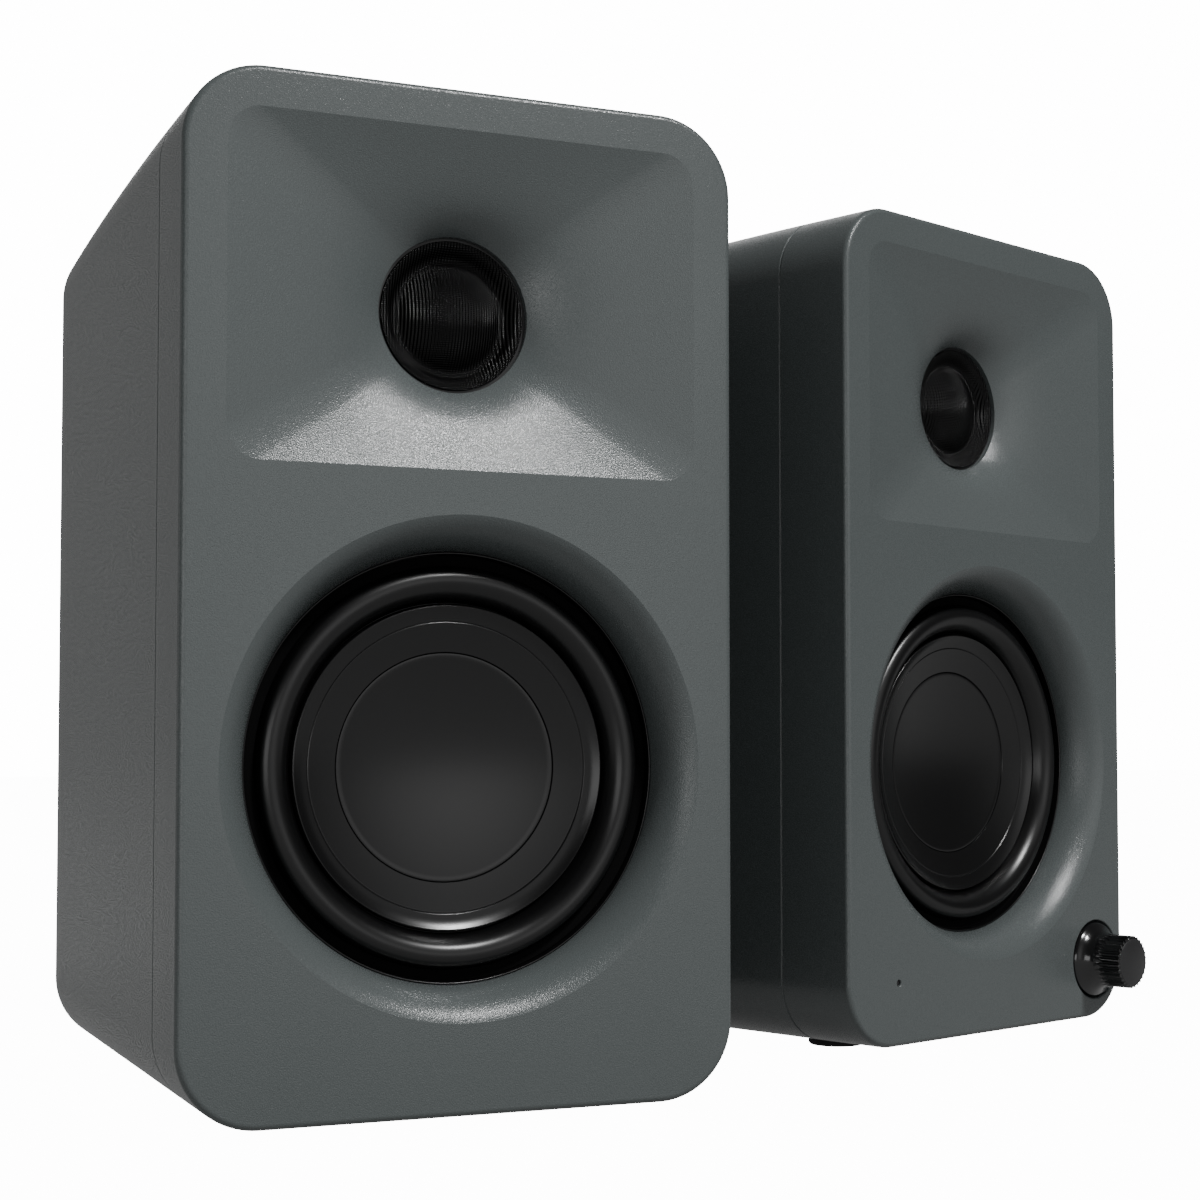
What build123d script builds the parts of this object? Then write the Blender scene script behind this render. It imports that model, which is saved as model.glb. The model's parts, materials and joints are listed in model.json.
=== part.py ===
from build123d import *
import math
import os

# A pair of compact powered desktop speakers, in millimetres.
#
# Each speaker is modelled in its own frame: X to the right seen from the front, Y from the front
# face to the back, Z up from the underside of the cabinet. The left speaker is passive. The right
# one holds the amplifier, the volume knob and the sockets, and stands turned and set back.

# Driving dimensions
WIDTH = 100.0
HEIGHT = 176.0
DEPTH = 120.0
CORNER = 14.0            # radius of the four long corners
BAFFLE_DEPTH = 18.2      # the front slab, from its face to the seam
TOP_DROP = 3.9           # how far the curved top falls from the seam to the back
WALL = 6.0
FOOT_HEIGHT = 2.0

TWEETER_Z = 138.4
WOOFER_Z = 59.0
WAVEGUIDE_DEPTH = 9.0

KNOB_X = 39.2
KNOB_Z = 13.2
KNOB_LENGTH = 10.0       # from the front face to the knob's rim
LIGHT_X = -33.8

# Where the front bottom centre of each speaker stands, and how far the right one is turned
LEFT_AT = (-69.4, -93.2)
RIGHT_AT = (73.0, -37.7)
RIGHT_TURN = 20.6

RUN_GAP = 0.05           # radial clearance of a running or threaded fit
SCREW_GAP = 0.05         # clearance round a screw in its hole
FREE_GAP = 0.1           # between parts that come close but don't touch
PAST = 1.0               # how far a cut runs past the face it opens


# Shapes

def prism(sketch, y_front, y_back):
    """The sketch, drawn as seen from the front, made solid between two depths."""
    return Pos(0, y_front, 0) * extrude(Plane.XZ * sketch, amount=y_front - y_back)


def turned(*edges):
    """A closed outline of (radius, depth), turned about the Y axis."""
    return revolve(make_face(Curve() + list(edges)), Axis.Y)


def turned_outline(*points):
    """The same, for a closed outline with straight sides."""
    return turned(*Polyline(*points, close=True).edges())


def ring(inner, outer, y_front, y_back):
    """A flat ring or a sleeve about the Y axis."""
    return turned_outline((inner, y_front), (outer, y_front), (outer, y_back), (inner, y_back))


def disc(radius, y_front, y_back):
    """A round bar or disc about the Y axis."""
    return prism(Circle(radius), y_front, y_back)


def skin(front_edges, thickness):
    """A thin turned shell: its front curve, and the same curve moved back by the thickness."""
    back_edges = [Pos(0, thickness, 0) * edge for edge in front_edges]
    start = Line(front_edges[0] @ 0, back_edges[0] @ 0)
    end = Line(front_edges[-1] @ 1, back_edges[-1] @ 1)
    return turned(*front_edges, end, *back_edges, start)


def cap_arc(radius, rim_y, apex_y):
    """Part of a circle centred on the axis, from the apex out to the rim."""
    rise = apex_y - rim_y
    sphere_r = (radius ** 2 + rise ** 2) / (2 * abs(rise))
    half = math.asin(radius / sphere_r) / 2
    fall = sphere_r * (1 - math.cos(half))
    middle = (sphere_r * math.sin(half), apex_y - math.copysign(fall, rise))
    return ThreePointArc((0, apex_y), middle, (radius, rim_y))


def around(solid, count, first=0.0):
    """Copies of the solid, evenly round the Y axis."""
    return [Rot(0, first + i * 360 / count, 0) * solid for i in range(count)]


def block(x, y, z, size_x, size_y, size_z):
    """A box with the given middle and size."""
    return Pos(x, y, z) * Box(size_x, size_y, size_z)


# Enclosure

CAVITY_WIDTH = WIDTH - 2 * WALL
CAVITY_HEIGHT = HEIGHT - TOP_DROP - 2 * WALL
CAVITY_Z = WALL + CAVITY_HEIGHT / 2
CAVITY_CORNER = CORNER - WALL
FRONT_EDGE = 1.2         # rounding of the front face's edge
SEAM_CHAMFER = 0.25
REAR_PANEL_THICKNESS = 6.0
REAR_PANEL_INSET = 1.0
REAR_FACE = DEPTH - REAR_PANEL_INSET
REAR_INSIDE = REAR_FACE - REAR_PANEL_THICKNESS
CLEAT = 10.0
CLEAT_DEPTH = 15.0
REAR_SCREW_X = CAVITY_WIDTH / 2 - CLEAT / 2
REAR_SCREW_Z = CAVITY_HEIGHT / 2 - CLEAT / 2
REAR_SCREW_R = 1.5
REAR_SCREW_HEAD_R = 2.8
SCREW_HEAD_HEIGHT = 1.6
SLOT_WIDTH = 0.8
SLOT_LENGTH = 3.2
SLOT_DEPTH = 0.7
REAR_SCREW_LENGTH = 14.0
FOOT_R = 6.0
FOOT_X = 28.0
FOOT_Y = (22.0, 100.0)
INSERT_Y = 62.0
INSERT_R = 4.5
INSERT_BORE_R = 2.65     # the minor radius of a quarter-inch camera thread
INSERT_HEIGHT = 7.5
INSERT_BORE_LENGTH = 6.5
PORT_Z = 140.0
PORT_R = 13.0
PORT_WALL = 2.0
PORT_LENGTH = 58.0
PORT_FLANGE_R = 18.0
PORT_FLANGE_HEIGHT = 2.0
PORT_FLANGE_ROUND = 1.2
FOOT_CHAMFER = 0.4


def rear_screw_places():
    """The four corners of the rear panel where a screw goes."""
    return [Pos(x, 0, CAVITY_Z + z) for x in (-REAR_SCREW_X, REAR_SCREW_X)
            for z in (-REAR_SCREW_Z, REAR_SCREW_Z)]


def cabinet_shell():
    """The wrap behind the front slab, open at both ends, with corner cleats for the rear panel."""
    top = TangentArc((BAFFLE_DEPTH, HEIGHT), (DEPTH, HEIGHT - TOP_DROP), tangent=(1, 0))
    outline = Polyline((DEPTH, HEIGHT - TOP_DROP), (DEPTH, 0), (BAFFLE_DEPTH, 0), (BAFFLE_DEPTH, HEIGHT))
    side = make_face(Curve() + [top, *outline.edges()])
    body = extrude(Plane.YZ * side, amount=WIDTH / 2, both=True)
    long_edges = [e for e in body.edges() if abs((e @ 0).Y - (e @ 1).Y) > DEPTH / 2]
    body = fillet(long_edges, CORNER)
    body = chamfer(body.faces().sort_by(Axis.Y)[0].edges(), SEAM_CHAMFER)
    body = fillet(body.faces().sort_by(Axis.Y)[-1].edges(), FRONT_EDGE)
    cavity = Pos(0, CAVITY_Z) * RectangleRounded(CAVITY_WIDTH, CAVITY_HEIGHT, CAVITY_CORNER)
    body -= prism(cavity, BAFFLE_DEPTH - PAST, DEPTH + PAST)
    cleat = prism(Rectangle(CLEAT, CLEAT), REAR_INSIDE - CLEAT_DEPTH, REAR_INSIDE)
    pilot = disc(REAR_SCREW_R + SCREW_GAP, REAR_INSIDE - REAR_SCREW_LENGTH, REAR_INSIDE + PAST)
    inner = prism(cavity, BAFFLE_DEPTH, DEPTH)
    for place in rear_screw_places():
        body += (place * cleat) & inner
        body -= place * pilot
    hole = Cylinder(INSERT_R, 2 * INSERT_HEIGHT)
    return body - Pos(0, INSERT_Y, 0) * hole


def front_baffle(with_controls):
    """The front slab: rounded edge, rectangular waveguide, flared woofer opening, driver seats."""
    face = Pos(0, HEIGHT / 2) * RectangleRounded(WIDTH, HEIGHT, CORNER)
    slab = prism(face, 0, BAFFLE_DEPTH)
    slab = fillet(slab.faces().sort_by(Axis.Y)[0].edges(), FRONT_EDGE)
    slab = chamfer(slab.faces().sort_by(Axis.Y)[-1].edges(), SEAM_CHAMFER)
    slab -= waveguide_cut()
    slab -= Pos(0, 0, TWEETER_Z) * disc(TWEETER_SEAT_R, TWEETER_SEAT_Y, BAFFLE_DEPTH + PAST)
    slab -= Pos(0, 0, WOOFER_Z) * woofer_flare_cut()
    slab -= Pos(0, 0, WOOFER_Z) * disc(WOOFER_SEAT_R, WOOFER_SEAT_Y, BAFFLE_DEPTH + PAST)
    pilot = disc(WOOFER_SCREW_R + SCREW_GAP, WOOFER_SCREW_TIP, WOOFER_SEAT_Y + PAST)
    for hole in around(Pos(WOOFER_SCREW_PITCH_R, 0, 0) * pilot, 4, 45):
        slab -= Pos(0, 0, WOOFER_Z) * hole
    if with_controls:
        slab -= Pos(KNOB_X, 0, KNOB_Z) * knob_recess_cut()
        slab -= Pos(LIGHT_X, 0, KNOB_Z) * disc(LIGHT_R, -PAST, BAFFLE_DEPTH + PAST)
    return slab


def rear_panel(holes):
    """The flat panel inside the rear opening, less its screw, port and socket holes."""
    outline = Pos(0, CAVITY_Z) * RectangleRounded(
        CAVITY_WIDTH - 2 * FREE_GAP, CAVITY_HEIGHT - 2 * FREE_GAP, CAVITY_CORNER - FREE_GAP)
    panel = prism(outline, REAR_INSIDE, REAR_FACE)
    for place in rear_screw_places():
        panel -= place * disc(REAR_SCREW_R + SCREW_GAP, REAR_INSIDE - PAST, REAR_FACE + PAST)
    panel -= Pos(0, 0, PORT_Z) * disc(PORT_R + PORT_WALL, REAR_INSIDE - PAST, REAR_FACE + PAST)
    for hole in holes:
        panel -= hole
    return panel


def rear_screws():
    """Four pan-head screws that hold the rear panel to the cleats."""
    head_back = REAR_FACE + SCREW_HEAD_HEIGHT
    head = disc(REAR_SCREW_HEAD_R, REAR_FACE, head_back)
    shank = disc(REAR_SCREW_R, REAR_FACE - REAR_SCREW_LENGTH, REAR_FACE)
    slots = block(0, head_back, 0, SLOT_WIDTH, 2 * SLOT_DEPTH, SLOT_LENGTH)
    slots += block(0, head_back, 0, SLOT_LENGTH, 2 * SLOT_DEPTH, SLOT_WIDTH)
    return [place * (head + shank - slots) for place in rear_screw_places()]


def port_tube():
    """The bass reflex port: a tube with a rounded flange on the back face."""
    front = REAR_FACE - PORT_LENGTH
    tube = ring(PORT_R, PORT_R + PORT_WALL, front, REAR_FACE)
    lip = ring(PORT_R, PORT_FLANGE_R, REAR_FACE, REAR_FACE + PORT_FLANGE_HEIGHT)
    lip = fillet(lip.edges().filter_by(GeomType.CIRCLE).group_by(Axis.Y)[-1], PORT_FLANGE_ROUND)
    return tube + lip


def feet():
    """Four round rubber feet under the cabinet."""
    foot = Cylinder(FOOT_R, FOOT_HEIGHT, align=(Align.CENTER, Align.CENTER, Align.MAX))
    foot = chamfer(foot.edges().filter_by(GeomType.CIRCLE).sort_by(Axis.Z)[0], FOOT_CHAMFER)
    return [Pos(x, y, 0) * foot for x in (-FOOT_X, FOOT_X) for y in FOOT_Y]


def stand_insert():
    """The threaded brass insert in the underside, for a stand."""
    barrel = Cylinder(INSERT_R, INSERT_HEIGHT, align=(Align.CENTER, Align.CENTER, Align.MIN))
    bore = Cylinder(INSERT_BORE_R, INSERT_BORE_LENGTH, align=(Align.CENTER, Align.CENTER, Align.MIN))
    return Pos(0, INSERT_Y, 0) * (barrel - bore)


# Tweeter

TWEETER_THROAT_R = 13.8
TWEETER_SEAT_R = 19.0
TWEETER_SEAT_Y = 10.0
WAVEGUIDE_WIDTH = 85.0
WAVEGUIDE_HEIGHT = 59.0
WAVEGUIDE_Z = 139.4
WAVEGUIDE_CORNER = 6.0
DOME_R = 9.5
DOME_RISE = 3.6
DOME_BASE_Y = 11.6
ROLL_OUTER_R = 12.2
ROLL_RISE = 1.1
CLOTH_THICKNESS = 0.25
DIAPHRAGM_R = 13.2
TWEETER_PLATE_R = TWEETER_SEAT_R - 0.3
CLAMP_WIDTH = 1.0
PLATE_Y = DOME_BASE_Y + 0.6          # leaves the cloth room to move
PLATE_BACK_Y = PLATE_Y + 1.7
TWEETER_COIL_LENGTH = 4.35
TWEETER_MAGNET_Y = DOME_BASE_Y + 3.2
TWEETER_MAGNET_GAP = 0.7
TWEETER_CUP_R = 14.5
POT_FLOOR_Y = DOME_BASE_Y + 10.2
POT_FLOOR_THICKNESS = 2.8


def corner_points(width, height, centre_z, corner):
    """Ends of the straight sides of a rounded rectangle, anticlockwise from the right side."""
    x = width / 2
    z = height / 2
    places = [(x, -z + corner), (x, z - corner), (x - corner, z), (-x + corner, z),
              (-x, z - corner), (-x, -z + corner), (-x + corner, -z), (x - corner, -z)]
    return [(px, centre_z + pz) for px, pz in places]


def waveguide_cut():
    """What the waveguide takes out of the slab: a rounded rectangle easing into a round throat."""
    points = corner_points(WAVEGUIDE_WIDTH, WAVEGUIDE_HEIGHT, WAVEGUIDE_Z, WAVEGUIDE_CORNER)
    mouth_edges = []
    throat_edges = []
    angles = [math.degrees(math.atan2(z - TWEETER_Z, x)) % 360 for x, z in points]
    for i, point in enumerate(points):
        following = points[(i + 1) % 8]
        sweep = (angles[(i + 1) % 8] - angles[i]) % 360
        throat_edges.append(CenterArc((0, TWEETER_Z), TWEETER_THROAT_R, angles[i], sweep))
        if i % 2 == 0:
            mouth_edges.append(Line(point, following))
        else:
            centre_x = math.copysign(WAVEGUIDE_WIDTH / 2 - WAVEGUIDE_CORNER, point[0] + following[0])
            above = point[1] + following[1] - 2 * WAVEGUIDE_Z
            up = math.copysign(WAVEGUIDE_HEIGHT / 2 - WAVEGUIDE_CORNER, above)
            centre = (centre_x, WAVEGUIDE_Z + up)
            mouth_edges.append(CenterArc(centre, WAVEGUIDE_CORNER, 45 * (i - 1), 90))
    mouth = Plane.XZ * make_face(Curve() + mouth_edges)
    throat = Pos(0, WAVEGUIDE_DEPTH, 0) * (Plane.XZ * make_face(Curve() + throat_edges))
    flare = loft([mouth, throat], ruled=True)
    bore = Pos(0, 0, TWEETER_Z) * disc(TWEETER_THROAT_R, WAVEGUIDE_DEPTH - 0.01, TWEETER_SEAT_Y + PAST)
    entry = extrude(mouth, amount=PAST)
    return flare + bore + entry


def tweeter_plate():
    """The ring that clamps the dome's edge behind the throat."""
    base = ring(DIAPHRAGM_R - CLAMP_WIDTH, TWEETER_PLATE_R, PLATE_Y, PLATE_BACK_Y)
    collar = ring(DIAPHRAGM_R + FREE_GAP, TWEETER_PLATE_R, TWEETER_SEAT_Y, PLATE_Y)
    return base + collar


def tweeter_dome():
    """The cloth dome with its half-roll edge, and the coil behind it."""
    rim = (DOME_R, DOME_BASE_Y)
    roll_middle = ((DOME_R + ROLL_OUTER_R) / 2, DOME_BASE_Y - ROLL_RISE)
    outer = (ROLL_OUTER_R, DOME_BASE_Y)
    edges = [cap_arc(DOME_R, DOME_BASE_Y, DOME_BASE_Y - DOME_RISE), ThreePointArc(rim, roll_middle, outer),
             Line(outer, (DIAPHRAGM_R, DOME_BASE_Y))]
    dome = skin(edges, CLOTH_THICKNESS)
    coil_front = DOME_BASE_Y + CLOTH_THICKNESS
    coil = ring(DOME_R - 0.2, DOME_R + 0.1, coil_front, coil_front + TWEETER_COIL_LENGTH)
    return [dome, coil]


def tweeter_magnet():
    """The neodymium disc with its pole piece, inside the coil."""
    return disc(DOME_R - TWEETER_MAGNET_GAP, TWEETER_MAGNET_Y, POT_FLOOR_Y)


def tweeter_cup():
    """The steel pot round the magnet."""
    pot = ring(DOME_R + 0.6, TWEETER_CUP_R, PLATE_BACK_Y, POT_FLOOR_Y)
    return pot + disc(TWEETER_CUP_R, POT_FLOOR_Y, POT_FLOOR_Y + POT_FLOOR_THICKNESS)


# Woofer

WOOFER_MOUTH_R = 43.3    # where the flare leaves the front face
WOOFER_OPENING_R = 37.6
WOOFER_OPENING_Y = 8.0
FLARE_BULGE = 0.55
WOOFER_SEAT_R = 42.4
WOOFER_SEAT_Y = 9.8
WOOFER_SCREW_R = 1.2
WOOFER_SCREW_PITCH_R = 39.8
WOOFER_SCREW_TIP = 7.4
SURROUND_THICKNESS = 0.5
SURROUND_CREST_Y = 6.9
SURROUND_FOOT_Y = 10.6   # where it is glued to the cone's flange
CONE_THICKNESS = 0.4
SPIDER_THICKNESS = 0.35
SPIDER_R = 27.6
SPIDER_SEAT_R = 24.6
SPIDER_WAVES = 4
SPIDER_WAVE_HEIGHT = 0.9
NECK_Y = 19.2
FRAME_R = WOOFER_SEAT_R - 0.6
FRAME_OPENING_R = 34.6
FRAME_BASE_R = 28.0
FRAME_THROAT_R = 14.6
FRAME_BASE_BACK = 29.0
FLANGE_Y = WOOFER_SEAT_Y + SURROUND_THICKNESS
FLANGE_BACK_Y = FLANGE_Y + 2.0
WINDOW_WIDTH = 24.0
CONE_RIM_R = 28.15
CONE_RIM_Y = 9.9
CAP_R = 20.05
CAP_Y = 12.28
DISH_BOTTOM_Y = 14.66
COIL_R = 13.2
SPIDER_Y = 23.0
MOTOR_Y = 27.5
MAGNET_R = 28.0
MAGNET_HOLE_R = 16.0
MAGNET_FRONT = 32.5
MAGNET_BACK = 43.0
PLATE_R = 26.0
POLE_R = COIL_R - 0.85
BACK_PLATE_BACK = 46.5


def dish_depth(radius):
    """Depth of the shallow dish that the cone and the cap share."""
    fall = (DISH_BOTTOM_Y - CONE_RIM_Y) / CONE_RIM_R ** 2
    return DISH_BOTTOM_Y - fall * radius ** 2


def woofer_flare_cut():
    """What the woofer's opening takes out of the slab: a trumpet flare down to a round lip."""
    mouth = (WOOFER_MOUTH_R, 0)
    foot = (WOOFER_OPENING_R, WOOFER_OPENING_Y)
    middle = ((mouth[0] + foot[0]) / 2 - FLARE_BULGE, foot[1] / 2 - FLARE_BULGE)
    floor_y = WOOFER_SEAT_Y + PAST
    outline = Polyline(foot, (foot[0], floor_y), (0, floor_y), (0, -PAST), (mouth[0], -PAST), mouth)
    return turned(ThreePointArc(mouth, middle, foot), *outline.edges())


def woofer_basket():
    """The frame: a flange behind the opening, four windows, a spider seat and a base ring."""
    spider_seat_y = SPIDER_Y + SPIDER_THICKNESS + FREE_GAP
    outer = [(FRAME_R, FLANGE_Y), (FRAME_R, FLANGE_BACK_Y), (WOOFER_OPENING_R, FLANGE_BACK_Y),
             (FRAME_BASE_R, MOTOR_Y), (FRAME_BASE_R, FRAME_BASE_BACK)]
    inner = [(FRAME_THROAT_R, FRAME_BASE_BACK), (FRAME_THROAT_R, MOTOR_Y), (SPIDER_SEAT_R, MOTOR_Y),
             (SPIDER_SEAT_R, spider_seat_y), (29.0, spider_seat_y), (35.9, FLANGE_BACK_Y),
             (FRAME_OPENING_R, FLANGE_BACK_Y), (FRAME_OPENING_R, FLANGE_Y)]
    basket = turned_outline(*outer, *inner)
    window = block(34.0, 17.4, 0, 16.0, 7.6, WINDOW_WIDTH)
    for cut in around(window, 4):
        basket -= cut
    for hole in around(Pos(WOOFER_SCREW_PITCH_R, 0, 0) * disc(WOOFER_SCREW_R + SCREW_GAP, 0, 20), 4, 45):
        basket -= hole
    return basket


def woofer_surround():
    """The rubber half-roll, with a raised bead at the opening and a flange under the slab."""
    inner_foot = (30.4, SURROUND_FOOT_Y)
    outer_foot = (36.0, WOOFER_SEAT_Y)
    roll = Spline(inner_foot, (31.1, 8.2), (33.2, SURROUND_CREST_Y), (35.3, 7.9), outer_foot)
    edges = [Line((28.9, SURROUND_FOOT_Y), inner_foot), roll, Line(outer_foot, (FRAME_R, WOOFER_SEAT_Y))]
    surround = skin(edges, SURROUND_THICKNESS)
    bead_r = WOOFER_OPENING_R - FREE_GAP
    surround += ring(bead_r - 0.6, bead_r, WOOFER_OPENING_Y - FREE_GAP, WOOFER_SEAT_Y + FREE_GAP)
    for hole in around(Pos(WOOFER_SCREW_PITCH_R, 0, 0) * disc(WOOFER_SCREW_R + SCREW_GAP, 0, 20), 4, 45):
        surround -= hole
    return surround


def woofer_cone():
    """The cone: a flange under the surround, the visible rim of the dish, and the neck."""
    cap_seat = (CAP_R + 0.25, dish_depth(CAP_R + 0.25))
    half_r = (CONE_RIM_R + cap_seat[0]) / 2
    dish = ThreePointArc((CONE_RIM_R, CONE_RIM_Y), (half_r, dish_depth(half_r)), cap_seat)
    flange_y = SURROUND_FOOT_Y + SURROUND_THICKNESS
    flange_inner = (28.8, flange_y)
    neck_top = (CAP_R, CAP_Y + 0.5)
    edges = [Line((30.4, flange_y), flange_inner), Line(flange_inner, (CONE_RIM_R, CONE_RIM_Y)), dish,
             Line(cap_seat, neck_top), Line(neck_top, (COIL_R + RUN_GAP, NECK_Y))]
    return skin(edges, CONE_THICKNESS)


def woofer_dust_cap():
    """The concave cap that carries the cone's dish across the middle."""
    return skin([cap_arc(CAP_R, dish_depth(CAP_R), DISH_BOTTOM_Y)], CONE_THICKNESS)


def woofer_spider():
    """The corrugated suspension between the coil and the basket."""
    first = COIL_R + FREE_GAP
    pitch = (SPIDER_SEAT_R - 0.2 - first) / SPIDER_WAVES / 2
    steps = range(2 * SPIDER_WAVES + 1)
    points = [(first + i * pitch, SPIDER_Y - SPIDER_WAVE_HEIGHT * (i % 2)) for i in steps]
    edges = [Spline(*points), Line(points[-1], (SPIDER_R, SPIDER_Y))]
    return skin(edges, SPIDER_THICKNESS)


def woofer_voice_coil():
    """The former and its winding."""
    return ring(COIL_R - 0.35, COIL_R, 18.4, 34.5) + ring(COIL_R, COIL_R + 0.5, 28.0, 33.5)


def woofer_magnet():
    """The ferrite ring."""
    return ring(MAGNET_HOLE_R, MAGNET_R, MAGNET_FRONT, MAGNET_BACK)


def woofer_pole_plates():
    """The top plate in front of the magnet, and the back plate with its pole."""
    top_plate = ring(COIL_R + 0.95, PLATE_R, FRAME_BASE_BACK, MAGNET_FRONT)
    pole = disc(POLE_R, FRAME_BASE_BACK, BACK_PLATE_BACK)
    back_plate = disc(PLATE_R, MAGNET_BACK, BACK_PLATE_BACK) + pole
    return [top_plate, back_plate]


def woofer_screws():
    """Four screws from behind, through the flange into the slab."""
    head = disc(1.9, FLANGE_BACK_Y, FLANGE_BACK_Y + SCREW_HEAD_HEIGHT)
    shank = disc(WOOFER_SCREW_R, WOOFER_SCREW_TIP + 0.2, FLANGE_BACK_Y)
    return around(Pos(WOOFER_SCREW_PITCH_R, 0, 0) * (head + shank), 4, 45)


# Speaker terminals

POST_X = 10.0
POST_R = 3.0
POST_TIP = REAR_FACE + 14.0
BANANA_R = 2.02
BANANA_LENGTH = 13.0
POST_BASE_R = 6.8
POST_BASE_BACK = REAR_FACE + 1.6
WASHER_BACK = POST_BASE_BACK + 1.1
CAP_BACK = POST_TIP + 1.0
TERMINAL_WASHER_R = 5.6
TERMINAL_CAP_R = 6.4
TERMINAL_FLUTE_R = 0.9
TERMINAL_FLUTES = 12


def terminal_post():
    """A threaded post with an insulating base outside, a nut inside and a plug bore in its end."""
    post = disc(POST_R, REAR_INSIDE - 8, POST_TIP) + disc(POST_BASE_R, REAR_FACE, POST_BASE_BACK)
    nut = prism(RegularPolygon(5.0, 6), REAR_INSIDE - 3, REAR_INSIDE)
    return post + nut - disc(BANANA_R, POST_TIP - BANANA_LENGTH, POST_TIP + PAST)


def terminal_washer():
    """The clamping washer that the cap pushes along the post."""
    return ring(POST_R + RUN_GAP, TERMINAL_WASHER_R, POST_BASE_BACK + FREE_GAP, WASHER_BACK)


def terminal_cap():
    """The fluted cap that screws along the post."""
    cap = ring(POST_R + RUN_GAP, TERMINAL_CAP_R, WASHER_BACK + FREE_GAP, CAP_BACK)
    end_circles = cap.edges().filter_by(GeomType.CIRCLE).group_by(Axis.Y)[-1]
    cap = chamfer(end_circles.sort_by(SortBy.RADIUS)[-1], 0.6)
    flute = disc(TERMINAL_FLUTE_R, WASHER_BACK + 2.0, CAP_BACK + PAST)
    for cut in around(Pos(TERMINAL_CAP_R + 0.5, 0, 0) * flute, TERMINAL_FLUTES):
        cap -= cut
    return cap


# Sockets, boards and controls of the right speaker

LIGHT_R = 0.7
TERMINAL_Z_LEFT = 34.0
TERMINAL_Z_RIGHT = 100.0
RCA_Z = 68.0
RCA_X = (-24.0, -8.0, 20.0)
RCA_R = 4.15
RCA_LENGTH = 8.0
POWER_X = 18.0
POWER_Z = 34.0
POWER_BORE_R = 2.75
POWER_BODY_R = 5.4
RCA_BODY_R = 4.0
RCA_BORE_R = 1.65
USB_X = -14.0
USB_Z = 34.0
BOARD_Y = REAR_INSIDE - 12.0
BOARD_THICKNESS = 1.6
BOARD_BACK = BOARD_Y + BOARD_THICKNESS
POST_HOLE_R = POST_R + 0.4


def rca_sockets():
    """Two input sockets and one output socket for a subwoofer."""
    shell = disc(RCA_R, REAR_FACE, REAR_FACE + RCA_LENGTH) + disc(5.6, REAR_FACE, REAR_FACE + 1.2)
    body = shell + disc(RCA_BODY_R, BOARD_BACK + FREE_GAP, REAR_FACE)
    body -= disc(RCA_BORE_R, REAR_FACE - 3, REAR_FACE + RCA_LENGTH + PAST)
    return [Pos(x, 0, RCA_Z) * body for x in RCA_X]


def dc_inlet():
    """The barrel socket for the power supply, with its centre pin."""
    housing = disc(POWER_BODY_R, BOARD_BACK + FREE_GAP, REAR_FACE) + disc(6.6, REAR_FACE, REAR_FACE + 1.5)
    housing -= disc(POWER_BORE_R, REAR_FACE - 8.5, REAR_FACE + 2)
    pin = disc(1.05, REAR_FACE - 9, REAR_FACE - 0.5)
    return Pos(POWER_X, 0, POWER_Z) * (housing + pin)


def usb_socket():
    """The reversible digital input: a flat shell with rounded ends and a tongue."""
    shell = prism(RectangleRounded(9.0, 3.3, 1.6), BOARD_BACK + FREE_GAP, REAR_FACE + 0.6)
    shell -= prism(RectangleRounded(8.4, 2.7, 1.3), REAR_FACE - 6.5, REAR_FACE + PAST)
    tongue = prism(Rectangle(6.7, 0.7), REAR_FACE - 7, REAR_FACE - 0.6)
    return Pos(USB_X, 0, USB_Z) * (shell + tongue)


def crossover_board():
    """The passive filter: a board behind the terminals with a coil and two capacitors."""
    board = block(0, BOARD_Y + BOARD_THICKNESS / 2, 60, 56, BOARD_THICKNESS, 76)
    inductor = Pos(-12, 0, 78) * ring(5, 13, BOARD_Y - 11, BOARD_Y)
    capacitors = [block(14, BOARD_Y - 5, z, 12, 10, 26) for z in (44, 78)]
    posts = [Pos(x, 0, TERMINAL_Z_LEFT) * disc(POST_HOLE_R, 0, DEPTH) for x in (-POST_X, POST_X)]
    for post in posts:
        board -= post
    return [board, inductor, *capacitors]


def amplifier_board():
    """The amplifier: a board behind the sockets, a finned heat sink, capacitors and coils."""
    board = block(0, BOARD_Y + BOARD_THICKNESS / 2, 62, 80, BOARD_THICKNESS, 92)
    for x in (-POST_X, POST_X):
        board -= Pos(x, 0, TERMINAL_Z_RIGHT) * disc(POST_HOLE_R, 0, DEPTH)
    heat_sink = block(-14, BOARD_Y - 1.5, 82, 36, 3, 22)
    for i in range(6):
        heat_sink += block(-29 + 6 * i, BOARD_Y - 7, 82, 1.6, 9, 22)
    capacitors = [Pos(x, 0, 34) * disc(5.0, BOARD_Y - 20, BOARD_Y) for x in (-24, -8)]
    coils = [block(x, BOARD_Y - 4, 56, 10, 8, 10) for x in (10, 26)]
    return [board, heat_sink, *capacitors, *coils]


def status_light():
    """The clear rod that brings the status light to the front face."""
    return Pos(LIGHT_X, 0, KNOB_Z) * disc(LIGHT_R - 0.05, 0.4, BAFFLE_DEPTH + PAST)


RECESS_R = 9.0
RECESS_DEPTH = 2.6
ENCODER_SIZE = 12.0
ENCODER_Y = 7.0
ENCODER_BACK = 14.6
SHAFT_R = 3.0
SHAFT_BACK = 10.2
SHAFT_FRONT = -7.0
FLAT_X = 1.5             # where the shaft's flat lies
PUSH = 0.8
PLUNGER_BACK = 12.6
SKIRT_R = 8.65
KNOB_R = 6.0
FLUTES = 30
FLUTE_R = 0.42
SKIRT_BACK = 1.3
WAIST_Y = -4.2
BUSHING_R = 3.5
KNOB_DOME = 0.5


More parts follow.
